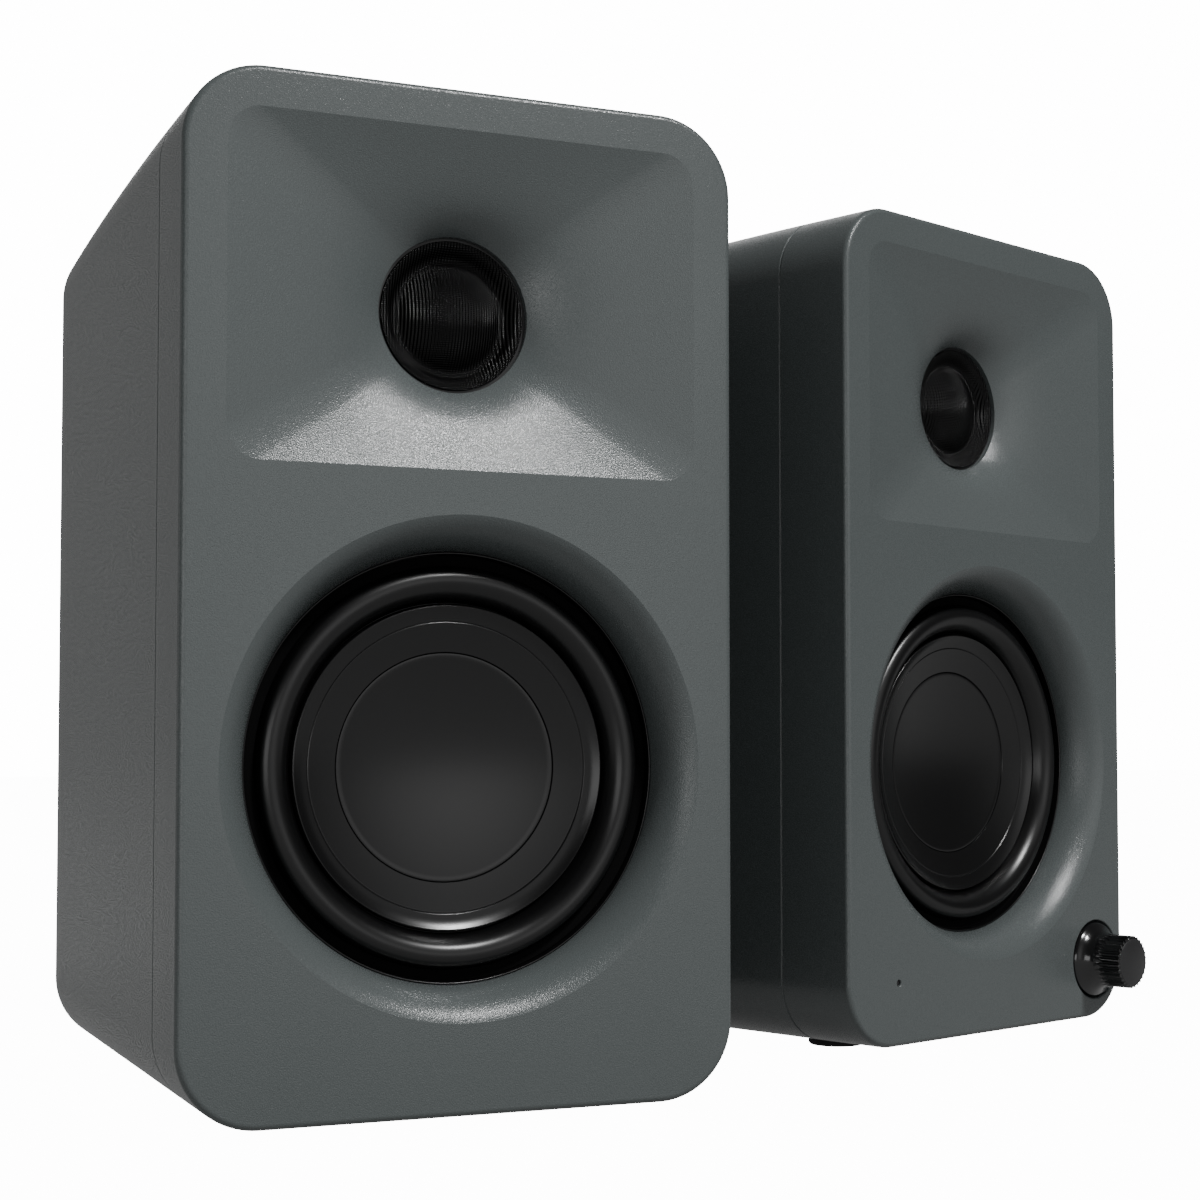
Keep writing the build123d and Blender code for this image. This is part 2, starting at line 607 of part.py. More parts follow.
def knob_recess_cut():
    """The round recess for the skirt, the bushing's hole and the encoder's pocket."""
    cut = disc(RECESS_R, -PAST, RECESS_DEPTH)
    cut += disc(BUSHING_R + FREE_GAP, 0, ENCODER_Y + PAST)
    return cut + block(0, (ENCODER_Y + BAFFLE_DEPTH + PAST) / 2, 0, ENCODER_SIZE + 0.6,
                       BAFFLE_DEPTH + 1 - ENCODER_Y, ENCODER_SIZE + 0.6)


def encoder_body():
    """The housing and bushing of the rotary encoder."""
    depth = ENCODER_BACK - ENCODER_Y
    body = block(0, ENCODER_Y + depth / 2, 0, ENCODER_SIZE, depth, ENCODER_SIZE)
    body += disc(BUSHING_R, 0.9, ENCODER_Y + PAST)
    return Pos(KNOB_X, 0, KNOB_Z) * (body - disc(SHAFT_R + RUN_GAP, 0, ENCODER_BACK - PAST))


def encoder_plunger():
    """The button behind the shaft that a press of the knob pushes in."""
    return Pos(KNOB_X, 0, KNOB_Z) * disc(SHAFT_R, SHAFT_BACK + 0.05, PLUNGER_BACK)


def shaft_profile(radius, front, back):
    """A round bar with a flat along its front half."""
    bar = disc(radius, front, back)
    flat_x = FLAT_X + radius - SHAFT_R
    width = 2 * radius
    return bar - block(flat_x + radius, (front - PAST) / 2, 0, width, PAST - front, width)


def knob_shaft():
    """The encoder's shaft."""
    return Pos(KNOB_X, 0, KNOB_Z) * shaft_profile(SHAFT_R, SHAFT_FRONT, SHAFT_BACK)


def volume_knob():
    """The knob: a trumpet skirt easing into a fluted barrel with a slightly domed end."""
    front = -KNOB_LENGTH
    rim = Polyline((0, SKIRT_BACK), (SKIRT_R, SKIRT_BACK), (SKIRT_R, 0.5))
    waist = (KNOB_R, WAIST_Y)
    flare = Spline((SKIRT_R, 0.5), (6.9, -1.3), waist, tangents=[(-0.75, -1), (0, -1)])
    barrel = Polyline(waist, (KNOB_R, front + 0.4), (KNOB_R - 0.4, front))
    end = cap_arc(KNOB_R - 0.4, front, front - KNOB_DOME)
    axis = Line((0, front - KNOB_DOME), (0, SKIRT_BACK))
    knob = turned(*rim.edges(), flare, *barrel.edges(), end, axis)
    flute = disc(FLUTE_R, front - PAST, WAIST_Y + 0.2)
    for cut in around(Pos(KNOB_R + 0.12, 0, 0) * flute, FLUTES):
        knob -= cut
    knob -= disc(4.3, -0.9, SKIRT_BACK + PAST)
    knob -= shaft_profile(SHAFT_R + 0.02, SHAFT_FRONT - 0.05, SKIRT_BACK + PAST)
    return Pos(KNOB_X, 0, KNOB_Z) * knob


# The two speakers, each node's solids in the speaker's own frame

def terminal_holes(centre_z):
    """The two holes in the rear panel for the posts."""
    return [Pos(x, 0, centre_z) * disc(POST_R + SCREW_GAP, 0, DEPTH) for x in (-POST_X, POST_X)]


def socket_holes():
    """The holes in the right rear panel for its sockets."""
    holes = [Pos(x, 0, RCA_Z) * disc(RCA_BODY_R + SCREW_GAP, 0, DEPTH) for x in RCA_X]
    holes.append(Pos(POWER_X, 0, POWER_Z) * disc(POWER_BODY_R + SCREW_GAP, 0, DEPTH))
    holes.append(Pos(USB_X, 0, USB_Z) * prism(RectangleRounded(9.1, 3.4, 1.65), 0, DEPTH))
    return holes


def common_nodes(terminal_z, extra_holes, with_controls):
    """What both speakers are made of."""
    tweeter = Pos(0, 0, TWEETER_Z)
    woofer = Pos(0, 0, WOOFER_Z)
    black = Pos(POST_X, 0, terminal_z)
    red = Pos(-POST_X, 0, terminal_z)
    return {
        "cabinet_shell": cabinet_shell(),
        "front_baffle": front_baffle(with_controls),
        "rear_panel": rear_panel(terminal_holes(terminal_z) + extra_holes),
        "rear_screws": rear_screws(),
        "port_tube": Pos(0, 0, PORT_Z) * port_tube(),
        "rubber_feet": feet(),
        "stand_insert": stand_insert(),
        "tweeter_plate": tweeter * tweeter_plate(),
        "tweeter_dome": [tweeter * solid for solid in tweeter_dome()],
        "tweeter_magnet": tweeter * tweeter_magnet(),
        "tweeter_cup": tweeter * tweeter_cup(),
        "woofer_basket": woofer * woofer_basket(),
        "woofer_surround": woofer * woofer_surround(),
        "woofer_cone": woofer * woofer_cone(),
        "woofer_dust_cap": woofer * woofer_dust_cap(),
        "woofer_spider": woofer * woofer_spider(),
        "woofer_voice_coil": woofer * woofer_voice_coil(),
        "woofer_magnet": woofer * woofer_magnet(),
        "woofer_pole_plates": [woofer * solid for solid in woofer_pole_plates()],
        "woofer_screws": [woofer * solid for solid in woofer_screws()],
        "terminal_posts": [red * terminal_post(), black * terminal_post()],
        "red_terminal_washer": red * terminal_washer(),
        "black_terminal_washer": black * terminal_washer(),
        "red_terminal_cap": red * terminal_cap(),
        "black_terminal_cap": black * terminal_cap(),
    }


def right_only_nodes():
    """The electronics and controls of the right speaker."""
    return {
        "amplifier_board": amplifier_board(),
        "rca_sockets": rca_sockets(),
        "dc_inlet": dc_inlet(),
        "usb_socket": usb_socket(),
        "status_light": status_light(),
        "encoder_body": encoder_body(),
        "encoder_plunger": encoder_plunger(),
        "knob_shaft": knob_shaft(),
        "volume_knob": volume_knob(),
    }


def save(name, shape, place):
    """Writes one node, moved to where its speaker stands."""
    shapes = shape if isinstance(shape, list) else [shape]
    solids = [solid for piece in shapes for solid in (place * piece).solids()]
    body = solids[0] if len(solids) == 1 else Compound(children=solids)
    body.label = name
    export_step(body, f"parts/{name}.step")


def main():
    """Writes every node of the pair."""
    os.makedirs("parts", exist_ok=True)
    left = Pos(*LEFT_AT, FOOT_HEIGHT)
    right = Pos(*RIGHT_AT, FOOT_HEIGHT) * Rot(0, 0, RIGHT_TURN)
    left_nodes = common_nodes(TERMINAL_Z_LEFT, [], False)
    left_nodes["crossover_board"] = crossover_board()
    right_nodes = common_nodes(TERMINAL_Z_RIGHT, socket_holes(), True)
    right_nodes.update(right_only_nodes())
    for name, shape in left_nodes.items():
        save(f"left_{name}", shape, left)
    for name, shape in right_nodes.items():
        save(f"right_{name}", shape, right)


if __name__ == "__main__":
    main()
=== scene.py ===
import json
import math

import bmesh
import bpy
import numpy as np
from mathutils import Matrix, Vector
from mathutils.geometry import delaunay_2d_cdt


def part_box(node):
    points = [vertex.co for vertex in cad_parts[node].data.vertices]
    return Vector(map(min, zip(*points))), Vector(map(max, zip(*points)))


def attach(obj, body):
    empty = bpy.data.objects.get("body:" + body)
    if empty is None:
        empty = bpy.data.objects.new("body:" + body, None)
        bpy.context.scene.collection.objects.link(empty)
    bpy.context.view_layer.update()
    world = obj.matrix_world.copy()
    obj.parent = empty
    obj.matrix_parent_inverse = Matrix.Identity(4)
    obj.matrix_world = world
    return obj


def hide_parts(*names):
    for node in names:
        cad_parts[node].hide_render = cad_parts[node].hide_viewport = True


bl_info = {
    "name": "Desktop Speakers",
    "version": (1, 0, 0),
    "blender": (4, 5, 0),
    "location": "3D View > Sidebar > Speakers",
    "description": "Builds the finished surfaces of a pair of desktop speakers on their CAD frame",
    "category": "Object",
}

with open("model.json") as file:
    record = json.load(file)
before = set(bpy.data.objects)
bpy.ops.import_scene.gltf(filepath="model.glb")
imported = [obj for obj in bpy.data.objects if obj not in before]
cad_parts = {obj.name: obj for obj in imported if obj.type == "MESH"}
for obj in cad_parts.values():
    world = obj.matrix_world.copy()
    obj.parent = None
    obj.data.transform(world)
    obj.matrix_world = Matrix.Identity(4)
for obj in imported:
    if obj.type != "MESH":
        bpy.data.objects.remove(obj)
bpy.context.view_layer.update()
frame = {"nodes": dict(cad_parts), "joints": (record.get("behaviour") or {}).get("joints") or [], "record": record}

MM = 0.001
SIDES = ("left", "right")


# Each speaker's own frame: X to the right seen from the front, Y from the front face to the back,
# Z up from the underside of the cabinet, in millimetres.

def joint(name):
    """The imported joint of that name."""
    return next(j for j in frame["joints"] if j["name"] == name)


BAFFLE_LOW, BAFFLE_HIGH = (np.array(corner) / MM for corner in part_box("left_front_baffle"))
WRAP_HIGH = np.array(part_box("left_cabinet_shell")[1]) / MM
WIDTH = BAFFLE_HIGH[0] - BAFFLE_LOW[0]
HEIGHT = BAFFLE_HIGH[2] - BAFFLE_LOW[2]
BAFFLE_DEPTH = BAFFLE_HIGH[1] - BAFFLE_LOW[1]
DEPTH = WRAP_HIGH[1] - BAFFLE_LOW[1]
FOOT_HEIGHT = BAFFLE_LOW[2]
ROW_ORIGIN = {}
ROW_TURN = {}


def find_places():
    """Where each speaker's own frame stands in the row frame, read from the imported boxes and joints."""
    ROW_TURN["left"] = 0.0
    ROW_ORIGIN["left"] = np.array([(BAFFLE_LOW[0] + BAFFLE_HIGH[0]) / 2, BAFFLE_LOW[1], FOOT_HEIGHT])
    ahead = joint("right_woofer_travel")["axis"]
    turn = math.atan2(ahead[0], -ahead[1])
    pivot = np.array(joint("right_speaker_turn")["pos_m"]) / MM
    half_back = DEPTH / 2 * np.array([-math.sin(turn), math.cos(turn)])
    ROW_TURN["right"] = turn
    ROW_ORIGIN["right"] = np.array([pivot[0] - half_back[0], pivot[1] - half_back[1], FOOT_HEIGHT])


find_places()


def to_row(points, side):
    """Points of a speaker's own frame in millimetres, as row points in metres."""
    c = math.cos(ROW_TURN[side])
    s = math.sin(ROW_TURN[side])
    turned = np.stack([points[..., 0] * c - points[..., 1] * s,
                       points[..., 0] * s + points[..., 1] * c,
                       points[..., 2]], axis=-1)
    return (turned + ROW_ORIGIN[side]) * MM


def middle_of(node):
    """The middle of a CAD node's box in its own speaker's frame, in millimetres."""
    side = node.split("_", 1)[0]
    low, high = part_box(node)
    shift = (np.array(low) + np.array(high)) / 2 / MM - ROW_ORIGIN[side]
    c = math.cos(ROW_TURN[side])
    s = math.sin(ROW_TURN[side])
    return np.array([shift[0] * c + shift[1] * s, -shift[0] * s + shift[1] * c, shift[2]])


TWEETER_Z = middle_of("left_tweeter_cup")[2]
WOOFER_Z = middle_of("left_woofer_magnet")[2]
KNOB_X = middle_of("right_encoder_plunger")[0]
KNOB_Z = middle_of("right_knob_shaft")[2]
LIGHT_X = middle_of("right_status_light")[0]

# Sizes that the frame doesn't give, in millimetres. R is a radius, Y a depth behind the front face,
# and a pair named SEAT is a shoulder's depth and radius.
CORNER = 14.0
SEAM_CHAMFER = 0.25
WALL = 6.0
CAVITY_LIP = 0.3
TOP_DROP = 3.9
THROAT_R = 13.8
THROAT_Y = 9.0
TWEETER_SEAT = (10.0, 19.0)
GUIDE_WIDTH = 85.0
GUIDE_HEIGHT = 59.0
GUIDE_Z = 139.4
GUIDE_CORNER = 6.0
WOOFER_MOUTH_R = 43.3
FLARE_PULLS = ((40.86, 0.89), (37.95, 3.8))
OPENING_R = 37.6
OPENING_Y = 8.0
WOOFER_SEAT = (9.8, 42.4)
RECESS_R = 9.0
RECESS_LIP = 0.3
RECESS_DEPTH = 2.6
SHAFT_HOLE_R = 3.6
ENCODER_SEAT = (7.0, 8.7)
LIGHT_R = 0.7
LIGHT_LIP = 0.12
DISH_BOTTOM_Y = 14.66
CONE_RIM = (28.15, 9.9)
CONE_THICKNESS = 0.35
CAP_R = 20.05
CAP_THICKNESS = 0.36
DOME_BASE_Y = 11.6
DOME_RISE = 3.6
DOME_R = 9.3
DOME_THICKNESS = 0.25
KNOB_R = 6.0
KNOB_FRONT_Y = -10.0
KNOB_BACK_Y = 1.3
KNOB_HOLLOW_R = 4.3
KNOB_BORE_R = 3.05
FLUTE_DEPTH = 0.55
FLUTE_POWER = 0.8
KNOB_END_R = 5.1

# How finely the shapes are divided: steps along a side and round a corner, and points round a circle
OUTLINE_STEPS = (10, 24)
GUIDE_STEPS = (40, 20)
WOOFER_POINTS = 192
CONE_POINTS = 160
DOME_POINTS = 128
RECESS_POINTS = 64
LIGHT_POINTS = 32
POINTS_PER_FLUTE = 10

# Edges that turn by more than this many degrees are shaded sharp
CABINET_SHARP = 8.0
KNOB_SHARP = 40.0
CONE_SHARP = 40.0
RUBBER_SHARP = 50.0
DOME_SHARP = 60.0


# Mesh tools

class Builder:
    """Collects vertex arrays and faces, then makes one mesh object of them."""

    def __init__(self):
        self.points = []
        self.faces = []
        self.count = 0

    def add(self, points, faces):
        """Adds points of shape (n, 3) and faces that count from their first."""
        self.points.append(np.asarray(points, float))
        self.faces.extend((np.asarray(face) + self.count).tolist() for face in faces)
        self.count += len(points)

    def grid(self, rows, flip=False):
        """Adds closed rings, shape (rings, points, 3), as quads from each ring to the next."""
        rings, across = rows.shape[:2]
        i = np.arange(rings - 1)[:, None]
        j = np.arange(across)[None, :]
        following = (j + 1) % across
        quads = np.stack([i * across + j, i * across + following,
                          (i + 1) * across + following, (i + 1) * across + j], axis=-1).reshape(-1, 4)
        self.add(rows.reshape(-1, 3), quads[:, ::-1] if flip else quads)

    def fan(self, ring, flip=False):
        """Closes a ring with triangles round its middle."""
        n = len(ring)
        j = np.arange(n)
        triangles = np.stack([j, (j + 1) % n, np.full(n, n)], axis=-1)
        self.add(np.vstack([ring, ring.mean(axis=0)]), triangles[:, ::-1] if flip else triangles)

    def thin_cap(self, front, thickness, z, count):
        """Adds a thin turned cap that closes over its axis: the front profile's rings, the same moved
        back by the thickness, and the edge between them."""
        rings = turned_rings(front, 0, z, count)
        back = turned_rings(front[::-1] + np.array([0.0, thickness]), 0, z, count)
        self.grid(rings)
        self.fan(rings[-1])
        self.grid(back)
        self.fan(back[0], flip=True)
        self.grid(np.stack([back[-1], rings[0]]))

    def flat(self, loops, y, flip=False):
        """A flat face at depth y between the first loop of (x, z) and the loops inside it."""
        everything = np.vstack(loops)
        edges = []
        for loop in loops:
            here = np.arange(len(loop))
            before = sum(len(pair) for pair in edges)
            edges.append(np.stack([here, np.roll(here, -1)], axis=-1) + before)
        edges = np.vstack(edges).tolist()
        corners = [Vector(point) for point in everything]
        found, _, triangles, _, _, _ = delaunay_2d_cdt(corners, edges, [], 1, 1e-7)
        found = np.array([tuple(p) for p in found])
        triangles = np.array([face for face in triangles if len(face) == 3])
        centres = found[triangles].mean(axis=1)
        keep = np.ones(len(triangles), bool)
        for loop in loops[1:]:
            keep &= ~inside(centres, loop)
        triangles = triangles[keep]
        a, b, c = (found[triangles[:, k]] for k in range(3))
        to_b, to_c = b - a, c - a
        area = to_b[:, 0] * to_c[:, 1] - to_b[:, 1] * to_c[:, 0]
        outwards = triangles.copy()
        outwards[area < 0] = triangles[area < 0][:, ::-1]
        points = np.stack([found[:, 0], np.full(len(found), float(y)), found[:, 1]], axis=-1)
        self.add(points, outwards[:, ::-1] if flip else outwards)

    def finish(self, name, side, material, body, sharp_degrees=35.0):
        """Welds the patches into one object, in the row frame, that rides on the body."""
        mesh = bpy.data.meshes.new(name)
        mesh.from_pydata(to_row(np.vstack(self.points), side), [], self.faces)
        weld_and_smooth(mesh, sharp_degrees)
        mesh.materials.append(material)
        piece = bpy.data.objects.new(name, mesh)
        bpy.context.scene.collection.objects.link(piece)
        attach(piece, body)
        return piece


def inside(points, loop):
    """Which (x, z) points lie inside a closed loop, by counting the edges that a ray crosses."""
    x, z = points[:, 0][:, None], points[:, 1][:, None]
    x0, z0 = loop[:, 0][None, :], loop[:, 1][None, :]
    x1, z1 = np.roll(loop[:, 0], -1)[None, :], np.roll(loop[:, 1], -1)[None, :]
    crosses = (z0 > z) != (z1 > z)
    rise = np.where(z1 == z0, 1e-12, z1 - z0)
    return (crosses & (x < x0 + (z - z0) * (x1 - x0) / rise)).sum(axis=1) % 2 == 1


def weld_and_smooth(mesh, sharp_degrees):
    """Merges the shared edges of patches, shades smooth and marks the edges sharper than the angle."""
    work = bmesh.new()
    work.from_mesh(mesh)
    bmesh.ops.remove_doubles(work, verts=work.verts, dist=2e-6)
    work.to_mesh(mesh)
    work.free()
    mesh.polygons.foreach_set("use_smooth", np.ones(len(mesh.polygons), bool))
    mesh.set_sharp_from_angle(angle=math.radians(sharp_degrees))
    mesh.update()


def rounded_loop(width, low, high, corner, steps=OUTLINE_STEPS):
    """(x, z) points of a rounded rectangle, anticlockwise seen from the front, the same count for any
    size: each corner is a quarter circle and each side is divided evenly."""
    along, round_steps = steps
    half = width / 2
    centres = [(half - corner, low + corner, -90), (half - corner, high - corner, 0),
               (-half + corner, high - corner, 90), (-half + corner, low + corner, 180)]
    parts = []
    for k, (cx, cz, first) in enumerate(centres):
        angle = np.radians(first + np.linspace(0, 90, round_steps + 1))
        arc = np.stack([cx + corner * np.cos(angle), cz + corner * np.sin(angle)], axis=-1)
        nx, nz, start = centres[(k + 1) % 4]
        onward = np.radians(start)
        target = np.array([nx + corner * np.cos(onward), nz + corner * np.sin(onward)])
        t = np.linspace(0, 1, along + 1)[1:-1, None]
        parts += [arc, arc[-1] * (1 - t) + target * t]
    return np.vstack(parts)


def circle_loop(x, z, radius, count):
    """(x, z) points of a circle, anticlockwise seen from the front."""
    angle = np.linspace(0, 2 * math.pi, count, endpoint=False)
    return np.stack([x + radius * np.cos(angle), z + radius * np.sin(angle)], axis=-1)


def at_depth(loop, y):
    """A loop of (x, z) set at a depth."""
    return np.stack([loop[:, 0], np.full(len(loop), float(y)), loop[:, 1]], axis=-1)


def turned_rings(profile, x, z, count):
    """Rings of a shape turned about a driver's axis: a point (r, y) becomes
    (x + r cos a, y, z + r sin a) for every angle a."""
    angle = np.linspace(0, 2 * math.pi, count, endpoint=False)
    r = profile[:, 0][:, None]
    return np.stack([x + r * np.cos(angle), np.repeat(profile[:, 1][:, None], count, axis=1),
                     z + r * np.sin(angle)], axis=-1)


def arc_points(start, end, bulge, steps):
    """(r, y) points of a shallow arc from start to end: the chord plus a parabola that stands off it
    by bulge at the middle, to the left of the way along."""
    t = np.linspace(0, 1, steps)[:, None]
    start = np.asarray(start, float)
    end = np.asarray(end, float)
    chord = end - start
    normal = np.array([-chord[1], chord[0]]) / np.hypot(*chord)
    return start + chord * t + normal * bulge * 4 * t * (1 - t)


def bezier_points(start, first, second, end, steps):
    """(r, y) points of a cubic Bezier curve: the four given points weighted by (1 - t) cubed,
    3 t (1 - t) squared, 3 t squared (1 - t) and t cubed."""
    t = np.linspace(0, 1, steps)[:, None]
    a, b, c, d = (np.asarray(point, float) for point in (start, first, second, end))
    return a * (1 - t) ** 3 + b * 3 * t * (1 - t) ** 2 + c * 3 * t ** 2 * (1 - t) + d * t ** 3


def smooth_curve(points, steps):
    """(r, y) points of a Catmull-Rom curve through the given ones."""
    p = np.asarray(points, float)
    p = np.vstack([2 * p[0] - p[1], p, 2 * p[-1] - p[-2]])
    t = np.linspace(0, 1, steps, endpoint=False)[:, None]
    spans = []
    for i in range(len(p) - 3):
        a, b, c, d = p[i:i + 4]
        spans.append(0.5 * (2 * b + (c - a) * t + (2 * a - 5 * b + 4 * c - d) * t ** 2
                            + (3 * b - a - 3 * c + d) * t ** 3))
    return np.vstack(spans + [p[-2][None, :]])


# Shared shader effects

def new_group(name, inputs, outputs):
    """A node group with named float or colour sockets."""
    group = bpy.data.node_groups.new(name, "ShaderNodeTree")
    kinds = {"float": "NodeSocketFloat", "colour": "NodeSocketColor"}
    for label, kind, value in inputs:
        socket = group.interface.new_socket(name=label, in_out="INPUT", socket_type=kinds[kind])
        socket.default_value = value
    for label, kind in outputs:
        group.interface.new_socket(name=label, in_out="OUTPUT", socket_type=kinds[kind])
    return group


def link_all(tree, *pairs):
    """Links each (output, input) pair."""
    for output, target in pairs:
        tree.links.new(output, target)


def math_node(tree, operation, a, b=None):
    """A Math node on two sockets or numbers, and its result."""
    node = tree.nodes.new("ShaderNodeMath")
    node.operation = operation
    for socket, value in zip(node.inputs, (a, b)):
        if value is None:
            continue
        if isinstance(value, (int, float)):
            socket.default_value = value
        else:
            tree.links.new(value, socket)
    return node.outputs[0]


def grain_group():
    """Fine speckle of paint and moulded plastic: a height, and a colour and roughness that vary."""
    found = bpy.data.node_groups.get("Surface grain")
    if found:
        return found
    group = new_group("Surface grain",
                      [("Colour", "colour", (0.1, 0.1, 0.1, 1)), ("Mottle", "float", 0.05),
                       ("Roughness", "float", 0.5), ("Roughness spread", "float", 0.05),
                       ("Grain scale", "float", 4000.0), ("Coarse scale", "float", 60.0)],
                      [("Colour", "colour"), ("Roughness", "float"), ("Height", "float")])
    nodes = group.nodes
    entry = nodes.new("NodeGroupInput")
    leave = nodes.new("NodeGroupOutput")
    place = nodes.new("ShaderNodeTexCoord").outputs["Object"]
    fine = nodes.new("ShaderNodeTexNoise")
    fine.inputs["Detail"].default_value = 1.0
    coarse = nodes.new("ShaderNodeTexNoise")
    coarse.inputs["Detail"].default_value = 3.0
    link_all(group, (place, fine.inputs["Vector"]), (place, coarse.inputs["Vector"]),
             (entry.outputs["Grain scale"], fine.inputs["Scale"]),
             (entry.outputs["Coarse scale"], coarse.inputs["Scale"]))
    swing = math_node(group, "SUBTRACT", coarse.outputs[0], 0.5)
    fine_swing = math_node(group, "SUBTRACT", fine.outputs[0], 0.5)
    both = math_node(group, "ADD", swing, fine_swing)
    factor = math_node(group, "ADD", math_node(group, "MULTIPLY", both, entry.outputs["Mottle"]), 1.0)
    shade = nodes.new("ShaderNodeVectorMath")
    shade.operation = "SCALE"
    link_all(group, (entry.outputs["Colour"], shade.inputs[0]), (factor, shade.inputs["Scale"]),
             (shade.outputs[0], leave.inputs["Colour"]))
    rough_swing = math_node(group, "MULTIPLY", fine_swing, entry.outputs["Roughness spread"])
    rough = math_node(group, "ADD", rough_swing, entry.outputs["Roughness"])
    link_all(group, (rough, leave.inputs["Roughness"]), (fine.outputs[0], leave.inputs["Height"]))
    return group


def weave_group():
    """Woven cloth: upright ribs crossed by finer threads, as a height, and the same value again as a shade that
    the cloth material paints into its colour: painted shade in the valleys, painted highlight on the crests.
    """
    found = bpy.data.node_groups.get("Cloth weave")
    if found:
        return found
    group = new_group("Cloth weave",
                      [("Turn", "float", 0.0), ("Ribs per metre", "float", 1700.0),
                       ("Cross share", "float", 0.35)],
                      [("Height", "float"), ("Shade", "float")])
    nodes = group.nodes
    entry = nodes.new("NodeGroupInput")
    leave = nodes.new("NodeGroupOutput")
    place = nodes.new("ShaderNodeTexCoord").outputs["Object"]
    spin = nodes.new("ShaderNodeVectorRotate")
    spin.rotation_type = "Z_AXIS"
    split = nodes.new("ShaderNodeSeparateXYZ")
    link_all(group, (place, spin.inputs["Vector"]), (entry.outputs["Turn"], spin.inputs["Angle"]),
             (spin.outputs[0], split.inputs[0]))
    full_turn = 2 * math.pi
    across = math_node(group, "MULTIPLY", split.outputs["X"], entry.outputs["Ribs per metre"])
    rib = math_node(group, "SINE", math_node(group, "MULTIPLY", across, full_turn))
    up = math_node(group, "MULTIPLY", split.outputs["Z"], entry.outputs["Ribs per metre"])
    threads_per_rib = 1.6
    thread = math_node(group, "SINE", math_node(group, "MULTIPLY", up, threads_per_rib * full_turn))
    crossed = math_node(group, "MULTIPLY", thread, entry.outputs["Cross share"])
    swing = math_node(group, "MULTIPLY", math_node(group, "ADD", rib, crossed), 0.4)
    height = math_node(group, "ADD", swing, 0.5)
    # The height goes out twice: as the relief, and as the painted shade and painted highlight of the cloth's
    # colour
    link_all(group, (height, leave.inputs["Height"]), (height, leave.inputs["Shade"]))
    return group


def principled(name, colour, roughness, metallic=0.0, coat=0.0, coat_roughness=0.1, specular=0.5):
    """A material with a Principled shader set to the constant values given."""
    material = bpy.data.materials.new(name)
    material.use_nodes = True
    shader = material.node_tree.nodes["Principled BSDF"]
    shader.inputs["Base Color"].default_value = (*colour, 1.0)
    shader.inputs["Roughness"].default_value = roughness
    shader.inputs["Metallic"].default_value = metallic
    shader.inputs["Coat Weight"].default_value = coat
    shader.inputs["Coat Roughness"].default_value = coat_roughness
    shader.inputs["Specular IOR Level"].default_value = specular
    return material, shader


def grained(name, colour, roughness, mottle=0.05, spread=0.05, grain=4000.0, coarse=60.0,
            bump=0.1, bump_height=0.00002, **shader_values):
    """A material whose colour, roughness and height come from the surface grain."""
    material, shader = principled(name, colour, roughness, **shader_values)
    tree = material.node_tree
    group = tree.nodes.new("ShaderNodeGroup")
    group.node_tree = grain_group()
    group.inputs["Colour"].default_value = (*colour, 1.0)
    group.inputs["Mottle"].default_value = mottle
    group.inputs["Roughness"].default_value = roughness
    group.inputs["Roughness spread"].default_value = spread
    group.inputs["Grain scale"].default_value = grain
    group.inputs["Coarse scale"].default_value = coarse
    relief = tree.nodes.new("ShaderNodeBump")
    relief.inputs["Strength"].default_value = bump
    relief.inputs["Distance"].default_value = bump_height
    link_all(tree, (group.outputs["Colour"], shader.inputs["Base Color"]),
             (group.outputs["Roughness"], shader.inputs["Roughness"]),
             (group.outputs["Height"], relief.inputs["Height"]),
             (relief.outputs["Normal"], shader.inputs["Normal"]))
    return material


def woven(name, colour, roughness, turn, pitch=0.00056, rib_height=0.00010, specular=0.5,
          valley_painted_shade=0.1, crest_painted_highlight=1.5):
    """A cloth material whose relief and painted light come from the weave: the colour is darkened in the valleys
    as painted shade and brightened on the crests as a painted highlight."""
    material, shader = principled(name, colour, roughness, specular=specular)
    tree = material.node_tree
    group = tree.nodes.new("ShaderNodeGroup")
    group.node_tree = weave_group()
    group.inputs["Turn"].default_value = -turn
    group.inputs["Ribs per metre"].default_value = 1 / pitch
    relief = tree.nodes.new("ShaderNodeBump")
    relief.inputs["Strength"].default_value = 1.0
    relief.inputs["Distance"].default_value = rib_height
    # Painted shade in the weave's valleys and a painted highlight on its crests, mixed by the rib height
    mix = tree.nodes.new("ShaderNodeMix")
    mix.data_type = "RGBA"
    mix.inputs["A"].default_value = (*(valley_painted_shade * value for value in colour), 1)
    mix.inputs["B"].default_value = (*(crest_painted_highlight * value for value in colour), 1)
    link_all(tree, (group.outputs["Height"], relief.inputs["Height"]),
             (relief.outputs["Normal"], shader.inputs["Normal"]),
             (group.outputs["Shade"], mix.inputs["Factor"]),
             (mix.outputs["Result"], shader.inputs["Base Color"]))
    return material


# Values that a user would change

class SpeakerFinishes(bpy.types.PropertyGroup):
    """Colours and gloss of the pair."""
    paint: bpy.props.FloatVectorProperty(
        name="Paint", description="Colour of the cabinet's paint", subtype="COLOR",
        default=(0.102, 0.116, 0.116), min=0, max=1)
    paint_roughness: bpy.props.FloatProperty(
        name="Paint roughness", description="How matte the paint is", subtype="FACTOR",
        default=0.27, min=0, max=1)
    cone: bpy.props.FloatVectorProperty(
        name="Cone", description="Colour of the cones and dust caps", subtype="COLOR",
        default=(0.004, 0.004, 0.0042), min=0, max=1)
    rubber: bpy.props.FloatVectorProperty(
        name="Rubber", description="Colour of the surrounds and feet", subtype="COLOR",
        default=(0.003, 0.003, 0.0032), min=0, max=1)
    cloth: bpy.props.FloatVectorProperty(
        name="Dome cloth", description="Colour of the tweeter domes", subtype="COLOR",
        default=(0.0006, 0.0006, 0.0007), min=0, max=1)
    knob: bpy.props.FloatVectorProperty(
        name="Knob", description="Colour of the volume knob", subtype="COLOR",
        default=(0.005, 0.005, 0.0055), min=0, max=1)


